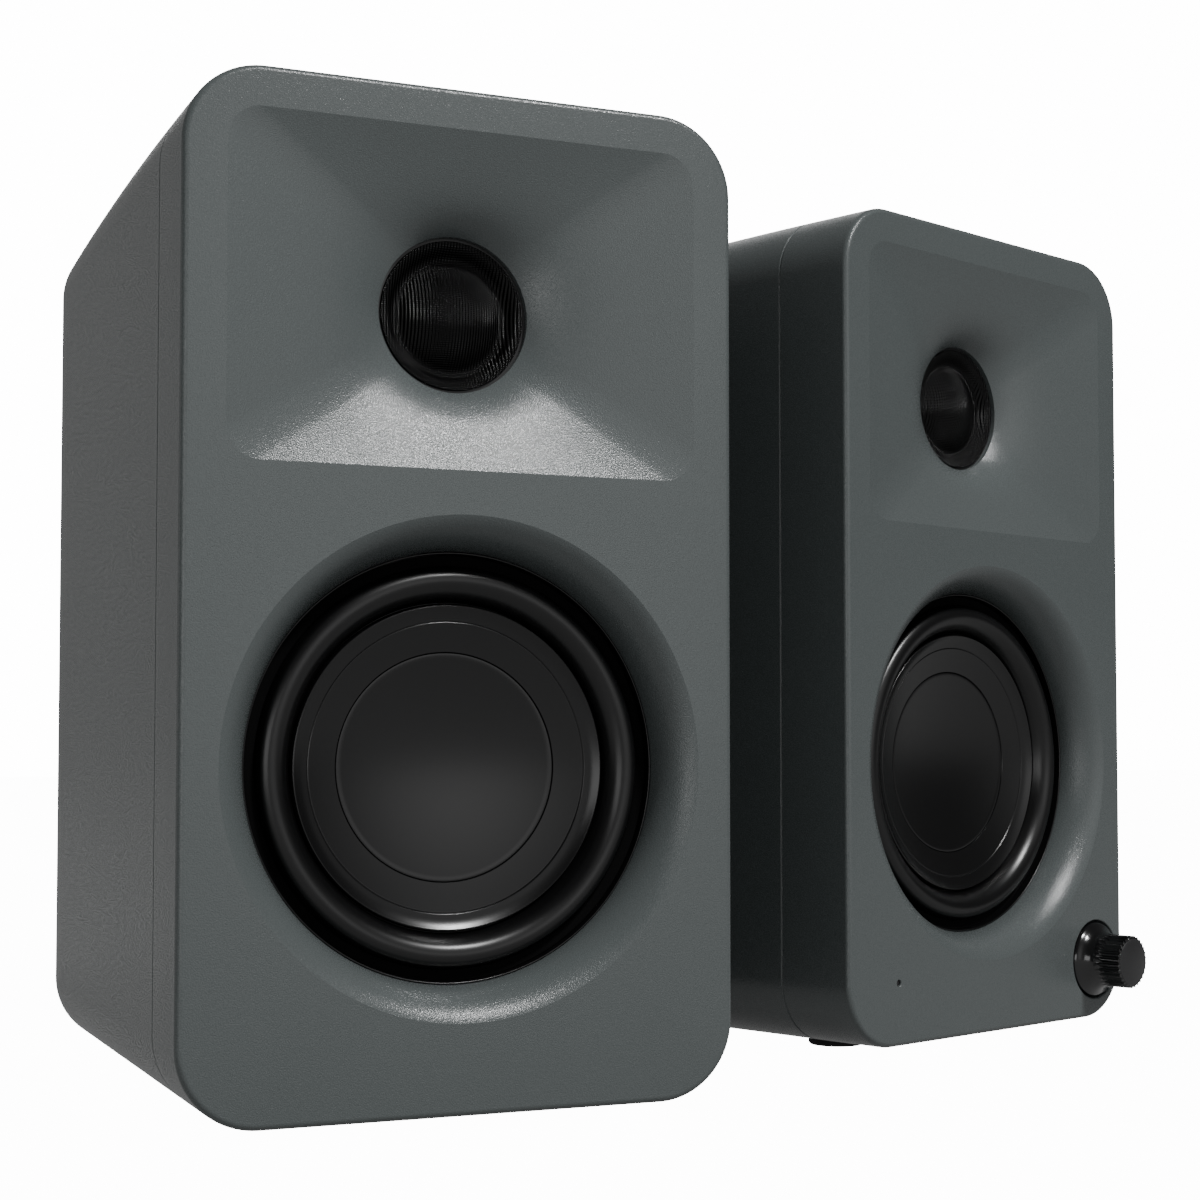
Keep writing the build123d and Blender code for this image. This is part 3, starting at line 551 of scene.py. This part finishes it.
class SpeakerSizes(bpy.types.PropertyGroup):
    """Sizes of the finished surfaces that the frame leaves free."""
    front_edge: bpy.props.FloatProperty(
        name="Front edge", description="Rounding of the front face's edge", subtype="DISTANCE",
        unit="LENGTH", default=1.2 * MM, min=0.2 * MM, max=3 * MM)
    ridge_spread: bpy.props.FloatProperty(
        name="Ridge spread", description="How wide the waveguide's diagonal ridges open at the throat",
        subtype="ANGLE", unit="ROTATION", default=math.radians(11), min=0.0, max=math.radians(30))
    throat_steepness: bpy.props.FloatProperty(
        name="Throat steepness", subtype="FACTOR", default=0.35, min=0.0, max=0.8,
        description="Share of the waveguide's fall that gathers near the throat")
    flutes: bpy.props.IntProperty(
        name="Flutes", description="Grooves round the knob's barrel", default=30, min=8, max=60)


# Surfaces

def guide_rings(spread, steepness, rows=56, gather=1.6):
    """The waveguide as rings from the rounded rectangle to the throat. A point is the straight blend of
    the rectangle's point and the throat's point for the same share v of the way, and its depth is the
    throat's times (1 - k) v + k v to the sixth. The share is one less the power "gather" of the way
    left, so the rows gather towards the throat. Each corner of the rectangle is given a wider arc of
    the throat than it would see, which softens the diagonal ridges."""
    along, round_steps = GUIDE_STEPS
    mouth = rounded_loop(GUIDE_WIDTH, GUIDE_Z - GUIDE_HEIGHT / 2, GUIDE_Z + GUIDE_HEIGHT / 2,
                         GUIDE_CORNER, GUIDE_STEPS)
    shift = GUIDE_Z - TWEETER_Z
    per_side = round_steps + along
    angles = np.empty(len(mouth))
    corners = np.unwrap([math.atan2(s * GUIDE_HEIGHT / 2 + shift, c * GUIDE_WIDTH / 2)
                         for c, s in ((1, -1), (1, 1), (-1, 1), (-1, -1))])
    closing = list(corners) + [corners[0] + 2 * math.pi]
    for k in range(4):
        first = k * per_side
        fan = np.linspace(-spread, spread, round_steps + 1)
        angles[first:first + round_steps + 1] = closing[k] + fan
        stretch = np.linspace(closing[k] + spread, closing[k + 1] - spread, along + 1)
        angles[first + round_steps:first + per_side] = stretch[:-1]
    throat = np.stack([THROAT_R * np.cos(angles), TWEETER_Z + THROAT_R * np.sin(angles)], axis=-1)
    v = 1 - np.linspace(1, 0, rows)[:, None, None] ** gather
    flat = mouth[None] * (1 - v) + throat[None] * v
    depth = THROAT_Y * ((1 - steepness) * v + steepness * v ** 6)
    depth = np.broadcast_to(depth, flat.shape[:2] + (1,))
    return np.concatenate([flat[..., :1], depth, flat[..., 1:]], axis=-1)


def build_baffle(side, paint, sizes):
    """The front slab. Its outside is the rounded rectangle carried round the front edge's quarter
    circle to the seam. The waveguide, the woofer's flare, the knob's recess and the light's hole are
    rings that share their mouths with the flat face."""
    shape = Builder()
    edge = sizes.front_edge / MM
    turn = np.linspace(0, math.pi / 2, 17)
    insets = list(edge * (1 - np.sin(turn))) + [0.0, SEAM_CHAMFER]
    depths = list(edge * (1 - np.cos(turn))) + [BAFFLE_DEPTH - SEAM_CHAMFER, BAFFLE_DEPTH]
    outlines = [rounded_loop(WIDTH - 2 * inset, inset, HEIGHT - inset, CORNER - inset)
                for inset in insets]
    shape.grid(np.stack([at_depth(loop, y) for loop, y in zip(outlines, depths)]), flip=True)

    guide = guide_rings(sizes.ridge_spread, sizes.throat_steepness)
    shape.grid(guide)
    throat_ring = guide[-1]
    offsets = throat_ring - np.array([0, 0, TWEETER_Z])
    seat_y, seat_r = TWEETER_SEAT
    rings = [throat_ring]
    for r, y in ((THROAT_R, seat_y), (seat_r, seat_y), (seat_r, BAFFLE_DEPTH)):
        ring = offsets * (r / THROAT_R)
        ring[:, 1] = y
        rings.append(ring + np.array([0, 0, TWEETER_Z]))
    shape.grid(np.stack(rings))

    seat_y, seat_r = WOOFER_SEAT
    flare = bezier_points((WOOFER_MOUTH_R, 0), *FLARE_PULLS, (OPENING_R, OPENING_Y), 28)
    steps = np.array([(OPENING_R, seat_y), (seat_r, seat_y), (seat_r, BAFFLE_DEPTH)])
    shape.grid(turned_rings(np.vstack([flare, steps]), 0, WOOFER_Z, WOOFER_POINTS))

    face_holes = [guide[0][:, ::2], circle_loop(0, WOOFER_Z, WOOFER_MOUTH_R, WOOFER_POINTS)]
    back_holes = [rings[-1][:, ::2], circle_loop(0, WOOFER_Z, seat_r, WOOFER_POINTS)]
    if side == "right":
        seat_y, seat_r = ENCODER_SEAT
        recess_mouth_r = RECESS_R + RECESS_LIP
        light_mouth_r = LIGHT_R + LIGHT_LIP
        lip = arc_points((recess_mouth_r, 0), (RECESS_R, RECESS_LIP), 0.08, 4)
        pocket = np.array([(RECESS_R, RECESS_DEPTH), (SHAFT_HOLE_R, RECESS_DEPTH),
                           (SHAFT_HOLE_R, seat_y), (seat_r, seat_y), (seat_r, BAFFLE_DEPTH)])
        shape.grid(turned_rings(np.vstack([lip, pocket]), KNOB_X, KNOB_Z, RECESS_POINTS))
        pipe = np.array([(light_mouth_r, 0), (LIGHT_R, LIGHT_LIP), (LIGHT_R, BAFFLE_DEPTH)])
        shape.grid(turned_rings(pipe, LIGHT_X, KNOB_Z, LIGHT_POINTS))
        face_holes += [circle_loop(KNOB_X, KNOB_Z, recess_mouth_r, RECESS_POINTS),
                       circle_loop(LIGHT_X, KNOB_Z, light_mouth_r, LIGHT_POINTS)]
        back_holes += [circle_loop(KNOB_X, KNOB_Z, seat_r, RECESS_POINTS),
                       circle_loop(LIGHT_X, KNOB_Z, LIGHT_R, LIGHT_POINTS)]
    shape.flat([outlines[0]] + face_holes, 0.0)
    shape.flat([outlines[-1]] + back_holes, BAFFLE_DEPTH, flip=True)
    piece = shape.finish(f"{side}_finished_baffle", side, paint, f"{side}_speaker", CABINET_SHARP)
    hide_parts(f"{side}_front_baffle")
    return piece


def build_wrap(side, paint, sizes):
    """The cabinet behind the seam. Each section is a rounded rectangle whose top falls with the square
    of the way back; the rear edge is a quarter circle, and the inside is straight."""
    shape = Builder()
    edge = sizes.front_edge / MM
    way = np.linspace(0, 1, 22)
    first = BAFFLE_DEPTH + SEAM_CHAMFER
    straight = DEPTH - edge - BAFFLE_DEPTH - SEAM_CHAMFER
    stations = [(BAFFLE_DEPTH, SEAM_CHAMFER), (first, 0.0)]
    stations += [(first + w * straight, 0.0) for w in way[1:]]
    turn = np.linspace(0, math.pi / 2, 17)[1:]
    stations += [(DEPTH - edge + edge * math.sin(a), edge * (1 - math.cos(a))) for a in turn]
    rings = []
    for y, inset in stations:
        back = (y - BAFFLE_DEPTH) / (DEPTH - BAFFLE_DEPTH)
        top = HEIGHT - TOP_DROP * back ** 2
        loop = rounded_loop(WIDTH - 2 * inset, inset, top - inset, CORNER - inset)
        rings.append(at_depth(loop, y))
    ceiling = HEIGHT - TOP_DROP - WALL
    cavity = rounded_loop(WIDTH - 2 * WALL, WALL, ceiling, CORNER - WALL)
    lip = rounded_loop(WIDTH - 2 * WALL + 2 * CAVITY_LIP, WALL - CAVITY_LIP, ceiling + CAVITY_LIP,
                       CORNER - WALL)
    rings += [at_depth(lip, DEPTH), at_depth(cavity, DEPTH - CAVITY_LIP),
              at_depth(cavity, BAFFLE_DEPTH), rings[0]]
    shape.grid(np.stack(rings), flip=True)
    piece = shape.finish(f"{side}_finished_wrap", side, paint, f"{side}_speaker", CABINET_SHARP)
    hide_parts(f"{side}_cabinet_shell")
    return piece


def dish(radius):
    """Depth of the dish of the cone and dust cap. It falls with the square of the radius."""
    return DISH_BOTTOM_Y - (DISH_BOTTOM_Y - CONE_RIM[1]) * (radius / CONE_RIM[0]) ** 2


def build_surround(side, rubber, felt):
    """The half-roll as one closed turned section: a flange under the slab, a thin bead at the opening,
    the groove beside it, the roll and the inner foot. A flat felt ring lies in the groove."""
    flange = [(41.8, 9.8), (37.55, 9.8)]
    bead = [(37.52, 9.5), (37.52, 8.15), (37.46, 8.02), (37.34, 7.98), (37.22, 8.04), (37.16, 8.2),
            (37.12, 10.1)]
    roll = smooth_curve([(35.3, 10.1), (34.98, 9.7), (34.85, 8.9), (34.45, 7.8), (33.7, 7.2),
                         (32.8, 6.95), (31.8, 7.05), (30.8, 7.55), (29.9, 8.5), (29.25, 9.7),
                         (28.8, 10.75)], 8)
    back = [(28.8, 11.05), (29.7, 11.05), (30.3, 9.2), (31.2, 8.0), (32.4, 7.6), (33.5, 7.8),
            (34.2, 8.9), (34.9, 10.35), (41.8, 10.35), (41.8, 9.8)]
    shape = Builder()
    shape.grid(turned_rings(np.vstack([flange, bead, roll, back]), 0, WOOFER_Z, CONE_POINTS))
    piece = shape.finish(f"{side}_finished_surround", side, rubber, f"{side}_woofer_cone_body",
                         RUBBER_SHARP)
    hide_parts(f"{side}_woofer_surround")
    section = np.array([(37.08, 10.04), (37.08, 9.7), (37.0, 9.6), (35.25, 9.6), (35.15, 9.7),
                        (35.15, 10.04), (37.08, 10.04)])
    strip = Builder()
    strip.grid(turned_rings(section, 0, WOOFER_Z, CONE_POINTS))
    gasket = strip.finish(f"{side}_felt_ring", side, felt, f"{side}_woofer_cone_body", RUBBER_SHARP)


def build_cone(side, coating):
    """The cone: a flange under the surround, a small rolled rim, the dish, the cap's seat and the neck.
    The dish comes forward towards the rim with the square of the way from where the lift starts, and
    a hairline groove is a bell curve of the radius: exp of minus the square of its distance from the
    groove's middle over the groove's width."""
    lift_start, lift_length, lift = 26.4, 1.8, 0.3
    groove_r, groove_width, groove_depth = 25.5, 0.09, 0.12
    rim = smooth_curve([(28.75, 11.0), (28.62, 10.3), (28.42, 9.72), (28.2, 9.6)], 5)
    radii = np.concatenate([np.linspace(28.1, 26.6, 12), np.linspace(lift_start, 25.9, 4),
                            np.linspace(25.85, 25.15, 21), np.linspace(25.0, CAP_R + 0.2, 30)])
    bowl = np.stack([radii, dish(radii)], axis=-1)
    bowl[:, 1] -= lift * np.clip((radii - lift_start) / lift_length, 0, 1) ** 2
    bowl[:, 1] += groove_depth * np.exp(-((radii - groove_r) / groove_width) ** 2)
    seat = np.array([(CAP_R + 0.12, dish(CAP_R) + 0.1), (CAP_R + 0.02, dish(CAP_R) + 0.5)])
    neck = arc_points((CAP_R - 0.1, dish(CAP_R) + 0.6), (13.3, 19.2), 0.4, 8)
    front = np.vstack([[(30.2, 11.07)], rim, bowl, seat, neck])
    back = front[::-1] + np.array([0.0, CONE_THICKNESS])
    shape = Builder()
    shape.grid(turned_rings(np.vstack([front, back, front[:1]]), 0, WOOFER_Z, CONE_POINTS))
    piece = shape.finish(f"{side}_finished_cone", side, coating, f"{side}_woofer_cone_body", CONE_SHARP)
    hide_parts(f"{side}_woofer_cone")


def build_cap(side, coating):
    """The dust cap: the middle of the same dish, with a softly rounded edge."""
    radii = np.linspace(CAP_R - 0.2, 0.3, 24)
    bowl = np.stack([radii, dish(radii)], axis=-1)
    edge = [(CAP_R - 0.02, dish(CAP_R) + 0.3), (CAP_R - 0.04, dish(CAP_R) + 0.08)]
    shape = Builder()
    shape.thin_cap(np.vstack([edge, bowl]), CAP_THICKNESS, WOOFER_Z, CONE_POINTS)
    piece = shape.finish(f"{side}_finished_dust_cap", side, coating, f"{side}_woofer_cone_body",
                         DOME_SHARP)
    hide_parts(f"{side}_woofer_dust_cap")


def build_dome(side, cloth):
    """The cloth dome: a spherical cap, a valley round it and a raised rim at the throat, with the
    coil's sleeve behind. The sphere's radius is the cap's radius squared plus its rise squared, over
    twice the rise."""
    radii = np.linspace(0.25, DOME_R, 24)
    sphere = (DOME_R ** 2 + DOME_RISE ** 2) / (2 * DOME_RISE)
    depths = DOME_BASE_Y - DOME_RISE + sphere - np.sqrt(sphere ** 2 - radii ** 2)
    cap = np.stack([radii, depths], axis=-1)
    rim = smooth_curve([(DOME_R, DOME_BASE_Y), (9.7, 11.75), (10.2, 11.7), (10.8, 11.3), (11.6, 10.4),
                        (12.4, 9.8), (13.1, 9.6), (13.19, 9.75), (13.2, 10.4),
                        (13.2, DOME_BASE_Y)], 5)[1:]
    shape = Builder()
    shape.thin_cap(np.vstack([cap, rim])[::-1], DOME_THICKNESS, TWEETER_Z, DOME_POINTS)
    sleeve = np.array([(9.3, 16.2), (9.3, 12.1), (9.6, 12.1), (9.6, 16.2), (9.3, 16.2)])
    shape.grid(turned_rings(sleeve, 0, TWEETER_Z, DOME_POINTS // 2), flip=True)
    piece = shape.finish(f"{side}_finished_dome", side, cloth, f"{side}_tweeter_dome_body", DOME_SHARP)
    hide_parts(f"{side}_tweeter_dome")


def build_knob(gloss, satin, sizes):
    """The volume knob. Its profile is a trumpet skirt easing into a barrel. The radius at an angle is
    the profile's less a groove: the flutes' depth times a power of the squared cosine of half the
    number of flutes times the angle. The groove fades in by 3 t squared less 2 t cubed, where t is
    the share of the fade's length."""
    barrel_start_y, fade_start, fade_length = -4.4, 3.4, 2.2
    skirt = [(KNOB_HOLLOW_R, KNOB_BACK_Y), (8.35, KNOB_BACK_Y), (8.6, 1.05), (8.65, 0.5)]
    flare = smooth_curve([(8.65, 0.5), (8.3, -0.25), (7.4, -1.15), (6.7, -2.1), (6.25, -3.2),
                          (6.02, barrel_start_y)], 10)
    barrel_y = np.linspace(barrel_start_y, KNOB_FRONT_Y + 0.35, 26)[1:]
    barrel = np.stack([np.full(len(barrel_y), KNOB_R), barrel_y], axis=-1)
    profile = np.vstack([skirt, flare, barrel])
    count = sizes.flutes * POINTS_PER_FLUTE
    angle = np.linspace(0, 2 * math.pi, count, endpoint=False)
    fade = np.clip((-profile[:, 1] - fade_start) / fade_length, 0, 1)
    fade = fade * fade * (3 - 2 * fade)
    ripple = np.cos(angle * sizes.flutes / 2) ** 2
    depth = FLUTE_DEPTH * fade[:, None] * ripple[None, :] ** FLUTE_POWER
    radius = profile[:, :1] - depth
    rings = np.stack([KNOB_X + radius * np.cos(angle), np.repeat(profile[:, 1][:, None], count, axis=1),
                      KNOB_Z + radius * np.sin(angle)], axis=-1)
    shape = Builder()
    shape.grid(rings, flip=True)
    turn = np.linspace(0, math.pi / 2, 6)
    rim = np.stack([5.20 + 0.12 * np.cos(turn), KNOB_FRONT_Y + 0.1 - 0.1 * np.sin(turn)], axis=-1)
    shape.grid(np.concatenate([rings[-1:], turned_rings(rim[:1], KNOB_X, KNOB_Z, count)]), flip=True)
    hollow = np.array([(KNOB_HOLLOW_R, KNOB_BACK_Y), (KNOB_HOLLOW_R, -0.9), (KNOB_BORE_R, -0.9),
                       (KNOB_BORE_R, -7.05)])
    bore = turned_rings(hollow, KNOB_X, KNOB_Z, count)
    shape.grid(bore[::-1], flip=True)
    shape.fan(bore[-1], flip=True)
    barrel_piece = shape.finish("right_finished_knob", "right", gloss, "right_knob_body", KNOB_SHARP)
    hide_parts("right_volume_knob")
    radii = np.linspace(KNOB_END_R, 0.2, 12)
    dome = np.stack([radii, KNOB_FRONT_Y - 0.5 * (1 - (radii / KNOB_END_R) ** 2)], axis=-1)
    cap = Builder()
    cap_rings = turned_rings(np.vstack([rim, dome]), KNOB_X, KNOB_Z, count)
    cap.grid(cap_rings, flip=True)
    cap.fan(cap_rings[-1], flip=True)
    back = turned_rings(np.array([(5.32, KNOB_FRONT_Y + 0.4)]), KNOB_X, KNOB_Z, count)
    cap.grid(np.concatenate([back, cap_rings[:1]]), flip=True)
    cap.fan(back[0])
    end_piece = cap.finish("right_finished_knob_end", "right", satin, "right_knob_body", KNOB_SHARP)


# Finishes of the CAD nodes that stay

def finish_table(finishes):
    """A material for each of the record's slots."""
    black = (0.009, 0.009, 0.0095)
    return {
        "slate_paint": grained("Slate paint", finishes.paint, finishes.paint_roughness, spread=0.60,
                               grain=4600.0, coarse=45.0, bump=1.0, bump_height=0.00005),
        "black_panel": grained("Black panel", (0.012, 0.012, 0.013), 0.55, grain=2500.0, bump=0.25),
        "black_steel": grained("Black coated steel", black, 0.4, bump=0.15),
        "black_plastic": grained("Black plastic", (0.012, 0.012, 0.0125), 0.45, grain=3000.0,
                                 bump=0.15),
        "black_rubber": grained("Foot rubber", finishes.rubber, 0.75, grain=1800.0, bump=0.3),
        "surround_rubber": grained("Surround rubber", finishes.rubber, 0.30, mottle=0.1,
                                   grain=2600.0, bump=0.04),
        "felt": grained("Felt", (0.002, 0.002, 0.0021), 0.9, grain=2000.0, bump=0.3, specular=0.1),
        "insert_brass": grained("Brass", (0.62, 0.43, 0.18), 0.3, metallic=1.0, bump=0.05),
        "spider_cloth": woven("Spider cloth", (0.28, 0.19, 0.05), 0.9, 0.0),
        "cone_black": grained("Cone coating", finishes.cone, 0.24, mottle=0.08, spread=0.04,
                              grain=3500.0, bump=0.04),
        "coil_copper": grained("Coil wire", (0.48, 0.17, 0.07), 0.35, metallic=1.0, grain=1500.0,
                               bump=0.4),
        "ferrite": grained("Ferrite", (0.045, 0.045, 0.048), 0.7, bump=0.3),
        "magnet_nickel": grained("Nickel plate", (0.5, 0.5, 0.5), 0.25, metallic=1.0, bump=0.05),
        "motor_steel": grained("Zinc plate", (0.4, 0.4, 0.38), 0.4, metallic=1.0, coarse=120.0,
                               bump=0.1),
        "gilt_metal": grained("Gilt plate", (0.72, 0.5, 0.2), 0.22, metallic=1.0, bump=0.03),
        "terminal_red": grained("Red terminal", (0.33, 0.012, 0.012), 0.25, coat=0.4, bump=0.04),
        "terminal_black": grained("Black terminal", black, 0.25, coat=0.4, bump=0.04),
        "board_green": grained("Circuit board", (0.02, 0.09, 0.035), 0.45, coarse=400.0, mottle=0.3,
                               bump=0.2),
        "socket_steel": grained("Bright steel", (0.55, 0.55, 0.55), 0.25, metallic=1.0, bump=0.05),
        "light_pipe": grained("Light pipe", (0.006, 0.006, 0.007), 0.2, bump=0.02),
        "encoder_case": grained("Encoder case", (0.07, 0.075, 0.085), 0.5, bump=0.1),
        "knob_black": grained("Knob gloss", finishes.knob, 0.16, spread=0.03, grain=2000.0, bump=0.02,
                              coat=0.5, coat_roughness=0.08),
        "knob_end": grained("Knob end", (0.022, 0.022, 0.023), 0.42, grain=2600.0, bump=0.12),
    }


FINISHES = {}


# Operators

class SPEAKERS_OT_finishes(bpy.types.Operator):
    """Makes the materials and gives every CAD node its own"""
    bl_idname = "speakers.finishes"
    bl_label = "Finishes"

    def execute(self, context):
        finishes = context.scene.speaker_finishes
        FINISHES.update(finish_table(finishes))
        for side in SIDES:
            FINISHES[f"{side}_cloth"] = woven(f"{side.title()} dome cloth", finishes.cloth, 0.24,
                                              ROW_TURN[side], rib_height=0.00018, specular=0.2)
        for part in frame["record"]["subparts"]:
            node = frame["nodes"][part["node"]]
            side = part["node"].split("_", 1)[0]
            material = FINISHES.get(part["material_slot"], FINISHES[f"{side}_cloth"])
            node.data.materials.clear()
            node.data.materials.append(material)
        return {"FINISHED"}


class SPEAKERS_OT_cabinets(bpy.types.Operator):
    """Makes both cabinets: the front slabs and the wraps behind the seam"""
    bl_idname = "speakers.cabinets"
    bl_label = "Cabinets"

    def execute(self, context):
        for side in SIDES:
            build_baffle(side, FINISHES["slate_paint"], context.scene.speaker_sizes)
            build_wrap(side, FINISHES["slate_paint"], context.scene.speaker_sizes)
        return {"FINISHED"}


class SPEAKERS_OT_woofers(bpy.types.Operator):
    """Makes the surrounds, cones and dust caps"""
    bl_idname = "speakers.woofers"
    bl_label = "Woofers"

    def execute(self, context):
        for side in SIDES:
            build_surround(side, FINISHES["surround_rubber"], FINISHES["felt"])
            build_cone(side, FINISHES["cone_black"])
            build_cap(side, FINISHES["cone_black"])
        return {"FINISHED"}


class SPEAKERS_OT_tweeters(bpy.types.Operator):
    """Makes the cloth domes"""
    bl_idname = "speakers.tweeters"
    bl_label = "Tweeters"

    def execute(self, context):
        for side in SIDES:
            build_dome(side, FINISHES[f"{side}_cloth"])
        return {"FINISHED"}


class SPEAKERS_OT_knob(bpy.types.Operator):
    """Makes the volume knob"""
    bl_idname = "speakers.knob"
    bl_label = "Knob"

    def execute(self, context):
        build_knob(FINISHES["knob_black"], FINISHES["knob_end"], context.scene.speaker_sizes)
        return {"FINISHED"}


# Stage: the camera in the left speaker's own frame, in millimetres
CAMERA_TURN = math.radians(23.218)
CAMERA_PITCH = math.radians(2.475)
CAMERA_HEIGHT = 63.09
# How far the left front's bottom centre is to the right of the camera and ahead of it
CAMERA_TO_LEFT = (-22.19, 365.71)
SENSOR_WIDTH = 36.0
# Focal length and upward shift, as shares of the picture's width
LENS_IN_WIDTHS = 2142.94 / 1200
LENS_SHIFT = 51.2 / 1200

FLOOR_HALF = 4000.0
FLOOR_SHADE = 0.15
# Glow of the floor and the surround to the camera, and of the floor in reflections
FLOOR_GLOW = 14.0
FLOOR_SHEEN = 0.30
SKY_SEEN = 15.0
SKY_EVEN = 0.07
# Each soft glow of the surround: where it comes from, how strong it is and how narrow
SKY_GLOWS = (
    ((0.25, -0.95, 0.02), 1.4, 10.0),
    ((-0.33, 0.93, 0.14), 0.24, 3.0),
)
# Each light in row metres: its place, its target, its width and height, and its energy
LIGHTS = (
    ("Key light", (0.356, -0.844, 1.132), (-0.05, -0.06, 0.11), (0.20, 0.17), 15.0),
    ("Left light", (-0.90, 0.30, 0.15), (-0.10, 0.0, 0.09), (0.50, 0.50), 0.5),
    ("Fill light", (-0.80, -1.00, 0.14), (0.0, -0.05, 0.09), (0.70, 0.40), 2.2),
    ("Rear light", (0.45, 1.30, 0.80), (0.0, 0.0, 0.09), (1.0, 0.8), 3.0),
)


def area_light(name, place, target, size, energy):
    """A rectangular studio light at a place, turned to a target."""
    data = bpy.data.lights.new(name, "AREA")
    data.shape = "RECTANGLE"
    data.size, data.size_y = size
    data.energy = energy
    light = bpy.data.objects.new(name, data)
    bpy.context.scene.collection.objects.link(light)
    light.location = place
    light.rotation_euler = (Vector(target) - Vector(place)).to_track_quat("-Z", "Y").to_euler()


class SPEAKERS_OT_stage(bpy.types.Operator):
    """Makes the floor, the lights, the world and the camera"""
    bl_idname = "speakers.stage"
    bl_label = "Stage"

    def execute(self, context):
        make_floor()
        make_world(context.scene)
        for light in LIGHTS:
            area_light(*light)
        make_camera(context.scene)
        return {"FINISHED"}


def make_floor():
    """A wide pale floor, lit up evenly for the camera and a little for reflections, so that only soft
    shadows show."""
    corners = np.array([(x * FLOOR_HALF, y * FLOOR_HALF, -FOOT_HEIGHT)
                        for x, y in ((-1, -1), (1, -1), (1, 1), (-1, 1))])
    mesh = bpy.data.meshes.new("floor")
    mesh.from_pydata(to_row(corners, "left"), [], [(0, 1, 2, 3)])
    material, shader = principled("Floor", (FLOOR_SHADE,) * 3, 0.9, specular=0.1)
    tree = material.node_tree
    path = tree.nodes.new("ShaderNodeLightPath")
    shader.inputs["Emission Color"].default_value = (1, 1, 1, 1)
    seen = math_node(tree, "MULTIPLY", path.outputs["Is Camera Ray"], FLOOR_GLOW)
    sheen = math_node(tree, "MULTIPLY", path.outputs["Is Glossy Ray"], FLOOR_SHEEN)
    tree.links.new(math_node(tree, "ADD", seen, sheen), shader.inputs["Emission Strength"])
    mesh.materials.append(material)
    floor = bpy.data.objects.new("floor", mesh)
    bpy.context.scene.collection.objects.link(floor)


def make_world(scene):
    """A plain studio surround: white to the camera, and as a light an even level with broad soft glows,
    each its strength times a power of the cosine from its direction."""
    world = bpy.data.worlds.new("Studio")
    world.use_nodes = True
    tree = world.node_tree
    background = tree.nodes["Background"]
    way = tree.nodes.new("ShaderNodeTexCoord").outputs["Generated"]
    level = SKY_EVEN
    for direction, strength, power in SKY_GLOWS:
        dot = tree.nodes.new("ShaderNodeVectorMath")
        dot.operation = "DOT_PRODUCT"
        dot.inputs[1].default_value = Vector(direction).normalized()
        tree.links.new(way, dot.inputs[0])
        facing = math_node(tree, "MAXIMUM", dot.outputs["Value"], 0.0)
        glow = math_node(tree, "MULTIPLY", math_node(tree, "POWER", facing, power), strength)
        level = math_node(tree, "ADD", glow, level)
    path = tree.nodes.new("ShaderNodeLightPath")
    seen = math_node(tree, "MULTIPLY", path.outputs["Is Camera Ray"], SKY_SEEN)
    tree.links.new(math_node(tree, "ADD", seen, level), background.inputs["Strength"])
    background.inputs["Color"].default_value = (1, 1, 1, 1)
    scene.world = world


def make_camera(scene):
    """The camera, low in front of the pair, turned to the right of straight ahead and a little up."""
    data = bpy.data.cameras.new("Camera")
    data.sensor_width = SENSOR_WIDTH
    data.lens = SENSOR_WIDTH * LENS_IN_WIDTHS
    data.shift_y = LENS_SHIFT
    data.clip_start = 0.01
    camera = bpy.data.objects.new("Camera", data)
    scene.collection.objects.link(camera)
    c, s = math.cos(CAMERA_TURN), math.sin(CAMERA_TURN)
    across, ahead = CAMERA_TO_LEFT
    place = np.array([-(across * c + ahead * s), -(-across * s + ahead * c), CAMERA_HEIGHT])
    camera.location = to_row(place, "left")
    look = Vector((s * math.cos(CAMERA_PITCH), c * math.cos(CAMERA_PITCH), math.sin(CAMERA_PITCH)))
    camera.rotation_euler = look.to_track_quat("-Z", "Y").to_euler()
    scene.camera = camera


class SPEAKERS_PT_panel(bpy.types.Panel):
    """Lists the pieces, sizes and colours"""
    bl_idname = "SPEAKERS_PT_panel"
    bl_label = "Desktop Speakers"
    bl_space_type = "VIEW_3D"
    bl_region_type = "UI"
    bl_category = "Speakers"

    def draw(self, context):
        layout = self.layout
        for group in (context.scene.speaker_sizes, context.scene.speaker_finishes):
            for name in group.bl_rna.properties.keys():
                if name not in ("name", "rna_type"):
                    layout.prop(group, name)
        for operator in OPERATORS:
            layout.operator(operator.bl_idname)


OPERATORS = (SPEAKERS_OT_finishes, SPEAKERS_OT_cabinets, SPEAKERS_OT_woofers, SPEAKERS_OT_tweeters,
             SPEAKERS_OT_knob, SPEAKERS_OT_stage)
CLASSES = (SpeakerFinishes, SpeakerSizes, *OPERATORS, SPEAKERS_PT_panel)


def register():
    """Registers the classes and hangs the values on the scene."""
    for cls in CLASSES:
        bpy.utils.register_class(cls)
    bpy.types.Scene.speaker_finishes = bpy.props.PointerProperty(type=SpeakerFinishes)
    bpy.types.Scene.speaker_sizes = bpy.props.PointerProperty(type=SpeakerSizes)


def unregister():
    """Takes the values and classes away again."""
    del bpy.types.Scene.speaker_sizes
    del bpy.types.Scene.speaker_finishes
    for cls in reversed(CLASSES):
        bpy.utils.unregister_class(cls)


def main():
    """Builds everything in order."""
    register()
    bpy.ops.speakers.finishes()
    bpy.ops.speakers.cabinets()
    bpy.ops.speakers.woofers()
    bpy.ops.speakers.tweeters()
    bpy.ops.speakers.knob()
    bpy.ops.speakers.stage()


if __name__ == "__main__":
    main()
